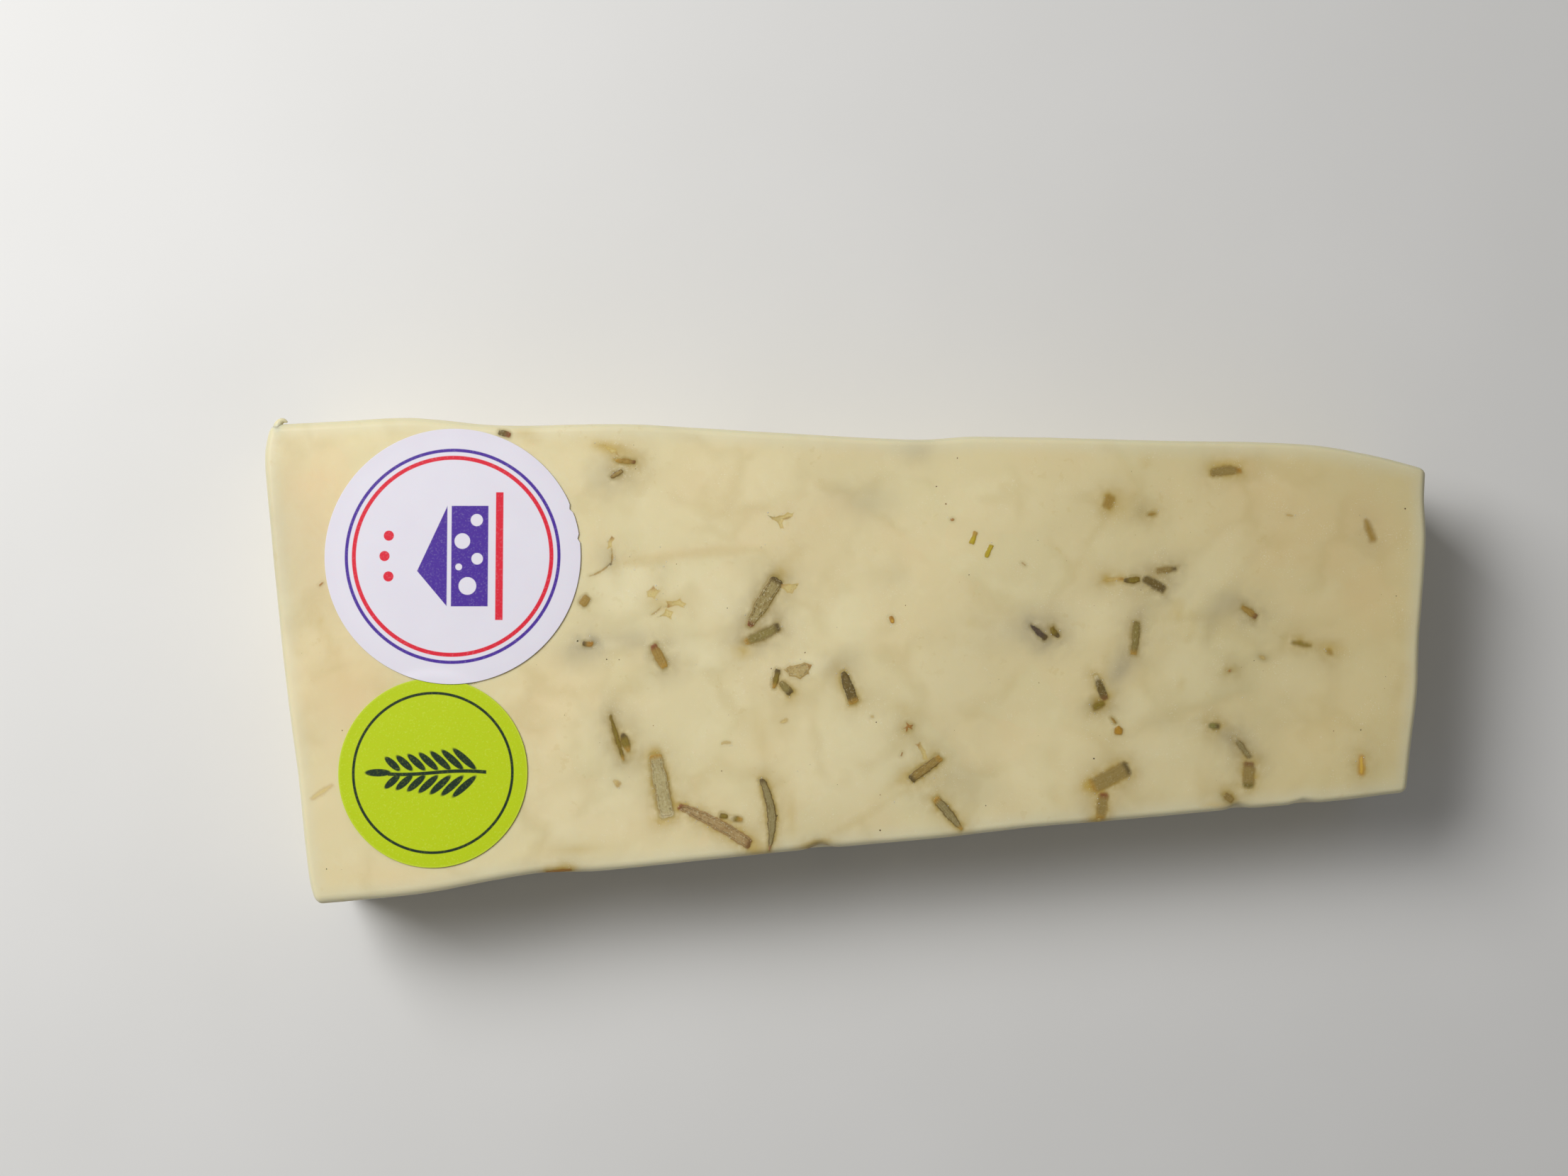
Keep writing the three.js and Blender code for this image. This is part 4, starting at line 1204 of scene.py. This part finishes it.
def herb_tone(finish, place, tone):
    """Lays the pieces of herb over the cheese's colour."""
    fine = finish.cloud(place, FINE_SIZE, 4.0, 0.65)
    blur, lined, solid = finish.layer("blur"), finish.layer("line"), finish.layer("solid")
    crisp = blur.below(CRISP_BLUR, CRISP_SOFT)
    depth = (finish.cloud(place, RAGGED_SIZE, 2.5, 0.55) - 0.5) * RAGGED - finish.layer("gap")
    inside = depth.rise(blur * -1 - SOFT_OUT, blur * BLUR_IN + SOFT_IN) * solid
    along, across, number = finish.axes(finish.layer("leaf", 1))

    mottle = leaf_grain(finish, place, MOTTLE_SIZE).rise(*MOTTLE_RISE) * lined * MOTTLE_SHARE
    rim_share = depth.rise(*RIM_RISE_IN) * (1 - mottle)
    herb = finish.mix(rim_share, finish.layer("rim", 1), finish.layer("tone", 1))
    streaks = finish.join(along / STREAK_LONG, across / STREAK_WIDE, number)
    streaks = finish.cloud(streaks, 1, 2.0).rise(*STREAK_RISE) * crisp * STREAK_SHARE
    herb = finish.mix(streaks, herb, STREAK, "MULTIPLY")

    dots = finish.cloud(finish.join(along / DOT_SIZE, number, number), 1, 1.0).rise(*DOT_RISE)
    rolled = depth.rise(LINE_FROM, LINE_FROM + LINE_SOFT_FROM) * depth.below(LINE_TO, LINE_SOFT_TO)
    herb = finish.mix(rolled * dots * lined * crisp * DOT_SHARE, herb, PORE)
    pores = leaf_grain(finish, place, PORE_SIZE).below(PORE_BELOW)
    herb = finish.mix(pores * crisp * PORE_SHARE, herb, PORE)
    # Painted highlight: pale patches of wet sheen on the leaf.
    wet_sheen = leaf_grain(finish, place, WET_SHEEN_SIZE).rise(*WET_SHEEN_RISE)
    herb = finish.mix(wet_sheen * (lined * SHEEN_ON_LINED + SHEEN_ON_ALL), herb, WET_SHEEN)

    fringe = depth.rise(*FRINGE_RISE) * (1 - blur * FRINGE_BLUR) * solid
    tone = finish.mix(fringe * finish.layer("stain"), tone, FRINGE)
    return finish.mix(inside, tone, herb), inside, fine


print("the dark line lies", LINE_FROM, "to", LINE_TO, "mm inside a leaf's outline")

# %% [markdown]
# The whole finish puts the parts together. It adds what is too small to be a shape: smudges
# of oil, and clusters of tiny white flecks, partly crystals and partly painted glints. The
# herb is duller than the moist cheese, so the same mask that lays its colour also roughens it.

# %% The finish of the cheese
# Each pattern: the size and the levels of its grains, then of the patches that they keep to
SMUDGE_GRAIN, SMUDGE_RISE, SMUDGE_PATCH, SMUDGE_PATCH_RISE = 1.3, (0.6, 0.68), 9, (0.52, 0.66)
FLECK_GRAIN, FLECK_RISE, FLECK_PATCH, FLECK_PATCH_RISE = 0.22, (0.63, 0.68), 3.6, (0.54, 0.62)
SMUDGE_SHARE, FLECK_SHARE, HAZE_AND_SHADE_SHARE = 0.14, 0.3, 0.8
# The white flecks, partly crystals and partly painted glints, start between these places
# along the slab, past the labels
FLECKS_FROM = (-50, -36)
# How much rougher the herb is than the skin, and the size and height of the skin's swell
HERB_BUMP, SWELL_SIZE, SWELL_SHARE = 2, 3.0, 2


def patchy(finish, place, grain, grain_rise, patch, patch_rise):
    """Grains that keep to patches."""
    return grain.rise(*grain_rise) * finish.cloud(place, patch).rise(*patch_rise)


def cheddar_finish():
    finish = Finish("rosemary_cheddar")
    place = finish.place()
    tone = edge_painted_light(finish, curd_tone(finish, place))
    smudge = finish.cloud(place, SMUDGE_GRAIN, 3.0)
    smudge = patchy(finish, place, smudge, SMUDGE_RISE, SMUDGE_PATCH, SMUDGE_PATCH_RISE)
    tone = finish.mix(smudge * SMUDGE_SHARE, tone, OIL)
    # Grey haze over sunk pieces, and painted shade round the herb, at the wide end and by the labels.
    tone = finish.mix(finish.layer("haze_and_shade") * HAZE_AND_SHADE_SHARE, tone, HAZE_AND_SHADE)
    tone = finish.mix(finish.layer("yellow"), tone, OIL)
    tone = finish.mix(finish.layer("olive"), tone, OLIVE)
    tone, herb, fine = herb_tone(finish, place, tone)
    # White flecks, partly crystals and partly painted glints.
    flecks_and_glints = finish.cloud(place, FLECK_GRAIN)
    flecks_and_glints = patchy(finish, place, flecks_and_glints, FLECK_RISE, FLECK_PATCH, FLECK_PATCH_RISE)
    flecks_and_glints = flecks_and_glints * finish.axes(place)[0].rise(*FLECKS_FROM) * (1 - herb)
    tone = finish.mix(flecks_and_glints * FLECK_SHARE, tone, WHITE_FLECK_GLINT)
    skin = fine * (herb * HERB_BUMP + 1) + finish.cloud(place, SWELL_SIZE) * SWELL_SHARE
    return finish.finish(
        Base_Color=tone, Roughness=fine * 0.2 + herb * 0.15 + 0.36,
        Normal=finish.bumps(skin, 0.4, 0.04), Subsurface_Weight=0.4,
        Subsurface_Radius=(1.0, 0.75, 0.45), Subsurface_Scale=1.4 * MM, Coat_Weight=0.08,
        Coat_Roughness=0.25, Specular_IOR_Level=0.3,
    )


cheddar = cheddar_finish()

# %% [markdown]
# At the back corner of the wide end the knife drew a lip of cheese out and curled it over.
# The slab's grid can't be pulled that far, so the lip is a short tapering tube along a bent
# path, sunk into the corner at its thick end.

# %% The curled burr
BURR_PATH = [(-83.6, 33.3), (-83.8, 34.2), (-83.45, 34.95), (-82.95, 35.15), (-82.4, 34.95)]
BURR_BELOW = 1.0
# Each row: the share of the way along the burr, and its radius there
BURR_RADII = [(0, 0.8), (0.3, 0.68), (0.55, 0.5), (0.75, 0.36), (0.92, 0.22), (1, 0.1)]
BURR_RINGS, BURR_SIDES = 16, 14


def tube(path, radii):
    """Rings of a tube round a path, its two end points, and its faces."""
    path = np.asarray(path, float)
    ahead = np.gradient(path, axis=0)
    ahead /= np.linalg.norm(ahead, axis=1, keepdims=True)
    across = np.cross(ahead, UP)
    angle = np.arange(BURR_SIDES) * 2 * math.pi / BURR_SIDES
    ring = across[:, None] * np.cos(angle)[None, :, None] - UP * np.sin(angle)[None, :, None]
    points = path[:, None] + ring * np.asarray(radii)[:, None, None]
    first, last = path[0] - ahead[0] * radii[0] / 2, path[-1] + ahead[-1] * radii[-1] / 2
    return sleeve(points, first, last)


def sleeve(rings, first, last):
    """Closes rings of points with an end point at each end. Returns points and faces."""
    count, sides = rings.shape[:2]
    faces = []
    for i in range(count - 1):
        for j in range(sides):
            k = (j + 1) % sides
            faces.append((i * sides + j, i * sides + k, (i + 1) * sides + k, (i + 1) * sides + j))
    start, stop = count * sides, count * sides + 1
    for j in range(sides):
        k = (j + 1) % sides
        faces.append((start, k, j))
        faces.append((stop, (count - 1) * sides + j, (count - 1) * sides + k))
    return np.concatenate([rings.reshape(-1, 3), [first, last]]), faces


def burr():
    shares = np.linspace(0, 1, BURR_RINGS)
    knots = np.linspace(0, 1, len(BURR_PATH))
    path = [glide(list(zip(knots, values)), shares) for values in np.array(BURR_PATH).T]
    path = np.column_stack([*path, np.full(BURR_RINGS, THICKNESS - BURR_BELOW)])
    return tube(path, np.interp(shares, *np.array(BURR_RADII).T))


burr_points, burr_faces = burr()
print("the burr reaches", burr_points.max(axis=0).round(2))

# %% [markdown]
# The slab and the burr become one mesh. Its last layer is the distance to the nearest edge,
# which lays the painted light and shade along the edges. The burr is all edge, has no herb
# and takes no tint.

# %% The slab as one piece
EDGE_FAR, BURR_EDGE = 4, 0.5


def edge_distance():
    """How far each point of the slab is from the nearest of its edges."""
    gaps = np.minimum(box, SIZES - box)
    widths = np.linalg.norm(back_cut(box[:, 0] / LENGTH) - front_cut(box[:, 0] / LENGTH), axis=1)
    gaps[:, 1] *= widths / WIDTH
    return np.sort(gaps, axis=1)[:, 1]


numbers = {**tints, **marks, "edge": np.minimum(edge_distance(), EDGE_FAR)}
on_burr = {"gap": FAR, "edge": BURR_EDGE}
numbers = {
    name: np.concatenate([values, np.full(len(burr_points), on_burr.get(name, 0))])
    for name, values in numbers.items() if name != "proud"
}
no_tone = np.zeros((len(burr_points), 3))
colours = {name: np.concatenate([values, no_tone]) for name, values in tones.items()}
cheese_points = np.concatenate([slab, burr_points])
cheese_faces = slab_faces + [[i + len(slab) for i in face] for face in burr_faces]
make_piece(
    "cheese_body", cheese_points, cheese_faces, cheddar, "cheese", numbers, colours,
)

# %% [markdown]
# The finest things are true shapes again: pinpoint specks of leaf dust, and white grains
# beside the herb, partly curd and partly painted glints. They are too small to have a pattern
# of their own, so their colours go with their points, and one dull finish serves them all.

# %% The finish of the grains
GRAIN_PORE, GRAIN_PORE_SHARE = colour(96, 80, 44), 0.3


def grain_finish():
    finish = Finish("dust_and_grains")
    fine = leaf_grain(finish, finish.place(), 0.15)
    pores = fine.below(0.4, 0.08) * GRAIN_PORE_SHARE
    tone = finish.mix(pores, finish.layer("tone", 1), GRAIN_PORE)
    return finish.finish(
        Base_Color=tone, Roughness=fine * 0.3 + 0.4, Normal=finish.bumps(fine, 0.3, 0.02),
        Subsurface_Weight=0.15, Subsurface_Radius=(1.0, 0.8, 0.4), Subsurface_Scale=0.4 * MM,
    )


grains_finish = grain_finish()

# %% [markdown]
# Under a lens such a grain is a little broken lump. A ball of many faces would be wasted on
# it, so each is a closed gem of twelve triangles at its true size: a ragged ring between two
# points.

# %% The form of a grain
GEM_SIDES = 6
# The ring's radii as shares of the full one, and the gem's half height as a share of its width
GEM_RADII, GEM_HIGH = (0.55, 1), 0.22
# A direction that no face of the slab looks in
ASKEW = (0.36, 0.48, 0.8)


def gem(centre, up, wide, shade):
    """A small closed grain: a ragged ring between two points."""
    side = np.cross(up, ASKEW)
    side /= np.linalg.norm(side)
    other = np.cross(up, side)
    angle = (np.arange(GEM_SIDES) + draws.uniform(0, 1)) * 2 * math.pi / GEM_SIDES
    radius = wide / 2 * draws.uniform(*GEM_RADII, GEM_SIDES)
    spokes = np.cos(angle)[:, None] * side + np.sin(angle)[:, None] * other
    ring = centre + radius[:, None] * spokes
    high = wide * GEM_HIGH
    points = np.concatenate([ring, [centre - high * up, centre + high * up]])
    faces = []
    for j in range(GEM_SIDES):
        k = (j + 1) % GEM_SIDES
        faces += [(GEM_SIDES, k, j), (GEM_SIDES + 1, j, k)]
    return points, faces, np.tile(shade, (len(points), 1))


def join(parts):
    """Joins parts of (points, faces, tones) into one."""
    points, faces, tones, first = [], [], [], 0
    for part_points, part_faces, part_tones in parts:
        points.append(part_points)
        tones.append(part_tones)
        faces.extend([i + first for i in face] for face in part_faces)
        first += len(part_points)
    return np.concatenate(points), faces, np.concatenate(tones)


print("triangles of one grain:", 2 * GEM_SIDES)

# %% [markdown]
# The grains lie on random points of the slab. Particles would do the same, but a plain mesh
# can be exported and counted, so all grains of one kind are joined into one. The underside
# has none, because they would reach past it into the board.

# %% Dust and white grains
COARSE_POINTS = len(corners)
# A point lies on a face if its way out is this straight, and on the top one if it rises so
STRAIGHT_OUT, UPWARDS = 0.999, 0.5
EDGE_CLEAR, LABEL_CLEAR, HERB_NEAR = 1.5, 0.5, 0.7
GRAIN_SHIFT, SHADE_SPREAD, SHADE_MOST = 0.15, (0.8, 1.15), 0.9


def bare_spots():
    """Numbers of the slab's points on a face, clear of the edges, the labels and the underside."""
    bare = np.abs(outwards).max(axis=1) > STRAIGHT_OUT
    bare &= numbers["edge"][:len(slab)] > EDGE_CLEAR
    bare &= outwards[:, 2] > -UPWARDS
    for label in (WHITE_LABEL, GREEN_LABEL):
        gap = outside_label(slab[:, 0], slab[:, 1], label)
        bare &= (gap > LABEL_CLEAR) | (outwards[:, 2] < UPWARDS)
    return np.flatnonzero(bare)


spots = bare_spots()
plain_spots = spots[spots < COARSE_POINTS]
herb_spots = spots[(marks["gap"][spots] > 0) & (marks["gap"][spots] < HERB_NEAR)]


def scatter(name, count, shades, small, large, places):
    """Joins many grains that lie on points of the slab. Most of them are nearly the smallest."""
    grains = []
    for spot in draws.choice(places, count, replace=False):
        wide = small + (large - small) * draws.uniform(0, 1) ** 3
        centre = slab[spot] + np.cross(outwards[spot], draws.normal(0, GRAIN_SHIFT, 3))
        shade = np.array(shades[draws.integers(len(shades))]) * draws.uniform(*SHADE_SPREAD)
        grains.append(gem(centre, outwards[spot], wide, np.minimum(shade, SHADE_MOST)))
    points, faces, shades = join(grains)
    tones = {"tone": shades}
    make_piece(name, points, faces, grains_finish, "cheese", colours=tones)


LEAF_DUST = [colour(96, 78, 38), colour(120, 84, 46), colour(84, 82, 44), colour(150, 112, 56)]
# The white grains are partly curd and partly painted glints.
WHITE_GRAINS_AND_GLINTS = [colour(236, 234, 218), colour(226, 222, 200)]
scatter("leaf_dust", 150, LEAF_DUST, 0.1, 0.36, plain_spots)
scatter("white_glint_grains_by_herb", 420, WHITE_GRAINS_AND_GLINTS, 0.08, 0.26, herb_spots)
scatter("white_glint_grains", 110, WHITE_GRAINS_AND_GLINTS, 0.07, 0.2, plain_spots)

# %% [markdown]
# The two labels are discs of coated paper. Paper is stiff along itself but drapes over a
# step: the white one went on last and climbs over the rim of the green one. Its right rim
# has two tiny nicks from the roll. Each label is a fan of rings with a top, an underside and
# a real thickness, so that its edge catches light.

# %% The form of a label
PAPER = 0.12
GLUE = 0.05
LABEL_RINGS, LABEL_SPOKES = 36, 180
# The white label comes down from the green one's rim between these distances outside it
CLIMB, CLEAR_OF_RIM = (0.2, 1.4), 0.03
RIM_FROM = 0.997
# Each nick: where it is in degrees, its depth and its width
RIM_NICKS = [(22, 0.35, 1.1), (8, 0.3, 0.9)]
NICK_POINT = 6
PAPER_WAVE, PAPER_WAVE_SIZE = 0.015, 6.0


def paper_height(x, y, climbs):
    """The underside of a label: glued to the cheese, or climbing over the other label."""
    height = np.full(x.shape, THICKNESS + GLUE)
    if climbs:
        outside = outside_label(x, y, GREEN_LABEL)
        height += (PAPER + CLEAR_OF_RIM) * (1 - smooth_step(*CLIMB, outside))
    return height


def make_label(name, label, finish, nicks, climbs):
    """A disc of rings with a top and an underside, nicked at its rim."""
    angle = np.arange(LABEL_SPOKES) * 2 * math.pi / LABEL_SPOKES
    rim = np.full(LABEL_SPOKES, label["radius"])
    for turn, deep, wide in nicks:
        off = np.angle(np.exp(1j * (angle - math.radians(turn)))) * label["radius"]
        rim -= deep * np.exp(-((off / wide) ** 2) * NICK_POINT)
    share = np.append(np.arange(1, LABEL_RINGS) / LABEL_RINGS, [RIM_FROM, 1])
    radius = share[:, None] * rim
    x = label["at"][0] + radius * np.cos(angle)
    y = label["at"][1] + radius * np.sin(angle)
    flat = np.stack([x, y, np.zeros_like(x)], axis=-1)
    wave = PAPER_WAVE * lumps(flat.reshape(-1, 3), PAPER_WAVE_SIZE).reshape(x.shape)
    low = paper_height(x, y, climbs)
    top, under = flat.copy(), flat.copy()
    top[..., 2] = low + PAPER + wave
    under[..., 2] = low + wave
    rings = np.concatenate([under, top[::-1]])
    middle = np.array([*label["at"], THICKNESS + GLUE])
    points, faces = sleeve(rings, middle, middle + (0, 0, PAPER))
    make_piece(name, points, faces, finish, name.replace("paper_", ""))


print("the white label climbs", PAPER + CLEAR_OF_RIM, "mm at the green one's rim")

# %% [markdown]
# The print is generic. The white label carries two thin rings, a wedge of cheese with round
# holes and a bar for the board under it, in violet and red. The green one carries a sprig
# of rosemary in dark ink. Each shape is a mask, which is a sum of distances in millimetres:
# 1 on the ink and 0 off it. The labels' tops point to the wide end of the slab.

# %% Masks for the print
INK_SOFT = 0.07


def label_axes(finish, label):
    """Millimetres to the right and up on a label, with its top towards the wide end."""
    x, y, _ = finish.axes(finish.place())
    return y - label["at"][1], (x - label["at"][0]) * -1


def ring(right, up, radius, half_wide):
    reach = (right * right + up * up).root()
    return abs(reach - radius).below(half_wide, INK_SOFT)


def dot(right, up, at, radius):
    reach = ((right - at[0]) ** 2 + (up - at[1]) ** 2).root()
    return reach.below(radius, INK_SOFT)


def dots(right, up, rows):
    """All the dots of rows of (place, radius)."""
    ink = dot(right, up, *rows[0])
    for row in rows[1:]:
        ink = ink.most(dot(right, up, *row))
    return ink


def bar(right, up, left_low, right_high):
    """A box between two corners."""
    centre = [(a + b) / 2 for a, b in zip(left_low, right_high)]
    half = [(b - a) / 2 for a, b in zip(left_low, right_high)]
    level = abs(right - centre[0]).below(half[0], INK_SOFT)
    return level * abs(up - centre[1]).below(half[1], INK_SOFT)


def leaf_mark(right, up, at, half_long, half_wide, turn):
    """A slim ellipse, turned."""
    cos, sin = math.cos(math.radians(turn)), math.sin(math.radians(turn))
    along = ((right - at[0]) * cos + (up - at[1]) * sin) / half_long
    across = ((up - at[1]) * cos - (right - at[0]) * sin) / half_wide
    return (along * along + across * across).root().below(1, INK_SOFT / half_wide)


print("an inked edge is soft over", 2 * INK_SOFT, "mm")

# %% [markdown]
# White label paper is coated smooth and faintly violet, and its fibres show only as a slight
# unevenness. The soft shade by its rim is painted shade. Both labels are of this paper, so one
# function makes it, with a colour and a shade for each.

# %% The paper of the labels
# The shade: its patches' size and share, and how wide and how strong the painted shade is at
# the rim
SHADE_SIZE, SHADE_SHARE = 5.0, 0.35
RIM_PAINTED_SHADE_WIDE, RIM_PAINTED_SHADE = 2.2, 0.15
FIBRE_SIZE, ROUGH_SPREAD = 0.3, 0.12
# The ink thins where the grain is low: its levels, and the least ink
GRAIN_RISE, WHITE_INK_LEAST, GREEN_INK_LEAST = (0.25, 0.5), 0.88, 0.85


def paper_finish(name, label, paper, shade, rough):
    """The sheet itself: fibres, fine grain and the painted shade near the rim."""
    finish = Finish(name)
    right, up = label_axes(finish, label)
    place = finish.place()
    reach = (right * right + up * up).root()
    grain = finish.cloud(place, FIBRE_SIZE, 3.0, 0.6)
    sheet = finish.mix(finish.cloud(place, SHADE_SIZE, 3.0) * SHADE_SHARE, paper, shade)
    near_rim = reach.rise(label["radius"] - RIM_PAINTED_SHADE_WIDE, label["radius"])
    # Painted shade along the rim.
    sheet = finish.mix(near_rim * RIM_PAINTED_SHADE, sheet, shade)
    return finish, right, up, sheet, grain, grain * ROUGH_SPREAD + rough


def ink_strength(grain, least):
    """How solid the ink is where the paper's grain is low or high."""
    return grain.rise(*GRAIN_RISE) * (1 - least) + least


print("the paper is shaded within", RIM_PAINTED_SHADE_WIDE, "mm of its rim")

# %% [markdown]
# The white label's print is a wedge of cheese over a board, with three dots and two rings.
# It could be a picture, but masks stay sharp however near the camera comes. The ink is a
# little glossier than the paper.

# %% The white label
PAPER_WHITE, PAPER_SHADE = colour(226, 223, 231), colour(214, 205, 219)
VIOLET_INK, RED_INK = colour(74, 42, 150), colour(218, 32, 54)
# The wedge: the slope and height of each side of its lid, where the lid starts, and its front
LID_RIGHT, LID_LEFT, LID_START = (0.458, 4.2), (0.846, 7.06), (0.75, 0.9)
WEDGE_FRONT = ((-7.4, -5.2), (7.4, 0.2))
HOLES = [
    ((-4.4, -2.2), 1.3), ((-0.4, -3.6), 0.85), ((2.2, -1.4), 1.15), ((5.3, -3.5), 0.9),
    ((-1.6, -0.9), 0.5),
]
BOARD = ((-9.4, -7.4), (9.4, -6.3))
THREE_DOTS = [((-3.0, 9.4), 0.75), ((0.0, 10.0), 0.75), ((3.0, 9.4), 0.75)]
# Each ring: its radius and half its width
VIOLET_RING, RED_RING = (15.6, 0.24), (14.5, 0.3)


def white_print(right, up):
    """The violet and the red ink."""
    lid = (up + right * LID_RIGHT[0]).below(LID_RIGHT[1], INK_SOFT)
    lid = lid * (up - right * LID_LEFT[0]).below(LID_LEFT[1], INK_SOFT) * up.rise(*LID_START)
    wedge = lid.most(bar(right, up, *WEDGE_FRONT)) * (1 - dots(right, up, HOLES))
    violet = wedge.most(ring(right, up, *VIOLET_RING))
    red = bar(right, up, *BOARD).most(ring(right, up, *RED_RING))
    return violet, red.most(dots(right, up, THREE_DOTS))


def white_finish():
    finish, right, up, sheet, grain, rough = paper_finish(
        "white_label_paper", WHITE_LABEL, PAPER_WHITE, PAPER_SHADE, 0.42)
    violet, red = white_print(right, up)
    solid = ink_strength(grain, WHITE_INK_LEAST)
    sheet = finish.mix(violet * solid, sheet, VIOLET_INK)
    sheet = finish.mix(red * solid, sheet, RED_INK)
    return finish.finish(
        Base_Color=sheet, Roughness=rough - (violet + red) * 0.08,
        Normal=finish.bumps(grain, 0.12, 0.02), Subsurface_Weight=0.05,
        Subsurface_Scale=0.2 * MM, Specular_IOR_Level=0.2,
    )


make_label("paper_white_label", WHITE_LABEL, white_finish(), RIM_NICKS, True)

# %% [markdown]
# The green label is the same paper under a flood of lime ink, which soaks in unevenly and
# leaves fine yellow-green speckles. The sprig is printed over it.

# %% The green label
LIME, LIME_SPECK, LIME_SHADE = colour(186, 206, 12), colour(202, 219, 72), colour(174, 194, 10)
DARK_INK = colour(22, 44, 26)
# The stem: how fast and how far it sways, half its width, half its length and its middle
SWAY_RATE, SWAY, STEM_HALF_WIDE, STEM_HALF_LONG, STEM_MIDDLE = 0.35, 0.25, 0.26, 7.2, -0.6
# Each leaf: its place, half its length, half its width and its turn
TIP_LEAF = ((0, 8.0), 1.9, 0.55, 90)
SPRIG_PAIRS, PAIR_START, PAIR_STEP, SHRINK = 7, -4.6, 1.75, 0.06
LEAF_OUT, LEAF_HALF_LONG, LEAF_HALF_WIDE, LEAF_TURN = 2.0, 2.3, 0.52, 48
GREEN_RING = (11.6, 0.2)
SPECK_SIZE, SPECK_RISE, SPECK_SHARE = 0.28, (0.55, 0.7), 0.4
PALE_RIM_WIDE, PALE_RIM = 0.35, 0.5


def sprig(right, up):
    """A stem with pairs of slim leaves, smaller towards the top, and one at its tip."""
    sway = (up * SWAY_RATE).maths("SINE") * SWAY
    stem = abs(right + sway).below(STEM_HALF_WIDE, INK_SOFT)
    stem = stem * abs(up - STEM_MIDDLE).below(STEM_HALF_LONG, INK_SOFT)
    ink = stem.most(leaf_mark(right, up, *TIP_LEAF))
    both = abs(right)
    for pair in range(SPRIG_PAIRS):
        grow = 1 - SHRINK * pair
        at = (LEAF_OUT * grow, PAIR_START + PAIR_STEP * pair)
        leaf = leaf_mark(both, up, at, LEAF_HALF_LONG * grow, LEAF_HALF_WIDE, LEAF_TURN)
        ink = ink.most(leaf)
    return ink


def green_finish():
    finish, right, up, sheet, grain, rough = paper_finish(
        "green_label_paper", GREEN_LABEL, LIME, LIME_SHADE, 0.4)
    speck = finish.cloud(finish.place(), SPECK_SIZE).rise(*SPECK_RISE)
    sheet = finish.mix(speck * SPECK_SHARE, sheet, LIME_SPECK)
    radius = GREEN_LABEL["radius"]
    edge = (right * right + up * up).root().rise(radius - PALE_RIM_WIDE, radius)
    sheet = finish.mix(edge * PALE_RIM, sheet, LIME_SPECK)
    ink = sprig(right, up).most(ring(right, up, *GREEN_RING))
    sheet = finish.mix(ink * ink_strength(grain, GREEN_INK_LEAST), sheet, DARK_INK)
    return finish.finish(
        Base_Color=sheet, Roughness=rough, Normal=finish.bumps(grain, 0.2, 0.02),
        Subsurface_Weight=0.05, Subsurface_Scale=0.2 * MM, Specular_IOR_Level=0.2,
    )


make_label("paper_green_label", GREEN_LABEL, green_finish(), [], False)

# %% [markdown]
# The stage is a plain pale floor under a soft studio light. The photograph was lit from the
# wide end, so the cheese grows darker to the right. One large lamp on that side, a weak one
# on the other and a dim even sky do the same. The lamps' size keeps the shadows soft.

# %% Floor and light
FLOOR_SIZE, FLOOR_PATCH = 2.4, 40.0
FLOOR_TONES = colour(214, 213, 210), colour(220, 219, 217)
SKY_STRENGTH = 0.2


def pale_floor():
    finish = Finish("pale_floor")
    tone = finish.mix(finish.cloud(finish.place(), FLOOR_PATCH, 3.0), *FLOOR_TONES)
    bpy.ops.mesh.primitive_plane_add(size=FLOOR_SIZE)
    floor = bpy.context.object
    floor.name = "pale_floor"
    floor.data.materials.append(finish.finish(Base_Color=tone, Roughness=0.7))


def lamp(name, place, aim, size, power):
    """A square lamp in metres and watts that shines from its place to its aim."""
    light = bpy.data.lights.new(name, "AREA")
    light.size = size
    light.energy = power
    holder = bpy.data.objects.new(name, light)
    holder.location = place
    holder.rotation_euler = (Vector(aim) - Vector(place)).to_track_quat("-Z", "Y").to_euler()
    bpy.context.scene.collection.objects.link(holder)


pale_floor()
lamp("window_light", place=(-0.3, 0.2, 0.42), aim=(-0.04, 0, 0.02), size=0.3, power=2.8)
lamp("fill_light", place=(0.5, -0.5, 0.7), aim=(0.03, 0, 0.02), size=0.6, power=0.1)
sky = bpy.data.worlds.new("soft_sky")
sky.use_nodes = True
background = sky.node_tree.nodes["Background"]
background.inputs["Color"].default_value = (1, 1, 1, 1)
background.inputs["Strength"].default_value = SKY_STRENGTH
bpy.context.scene.world = sky
bpy.context.scene.view_settings.view_transform = "Standard"
print("light comes from the wide end")

# %% [markdown]
# The camera hangs over the slab and leans very slightly, as the photograph was taken. Its
# place was found from the picture: the white label's size in pixels gives the distance, and
# the fact that no cut face shows gives the small tilt.

# %% Camera, size and the end
LENS, SENSOR = 50, 36
TILT = math.radians(3.5)
AIM = Vector((-8.97, 10.31, THICKNESS)) * MM
DISTANCE = 319.5 * MM
CLIP_START = 0.01

camera_data = bpy.data.cameras.new("camera")
camera_data.lens = LENS
camera_data.sensor_width = SENSOR
camera_data.sensor_fit = "HORIZONTAL"
camera_data.clip_start = CLIP_START
camera = bpy.data.objects.new("camera", camera_data)
camera.rotation_euler = (TILT, 0, 0)
camera.location = AIM - Vector((0, math.sin(TILT), -math.cos(TILT))) * DISTANCE
bpy.context.scene.collection.objects.link(camera)
bpy.context.scene.camera = camera
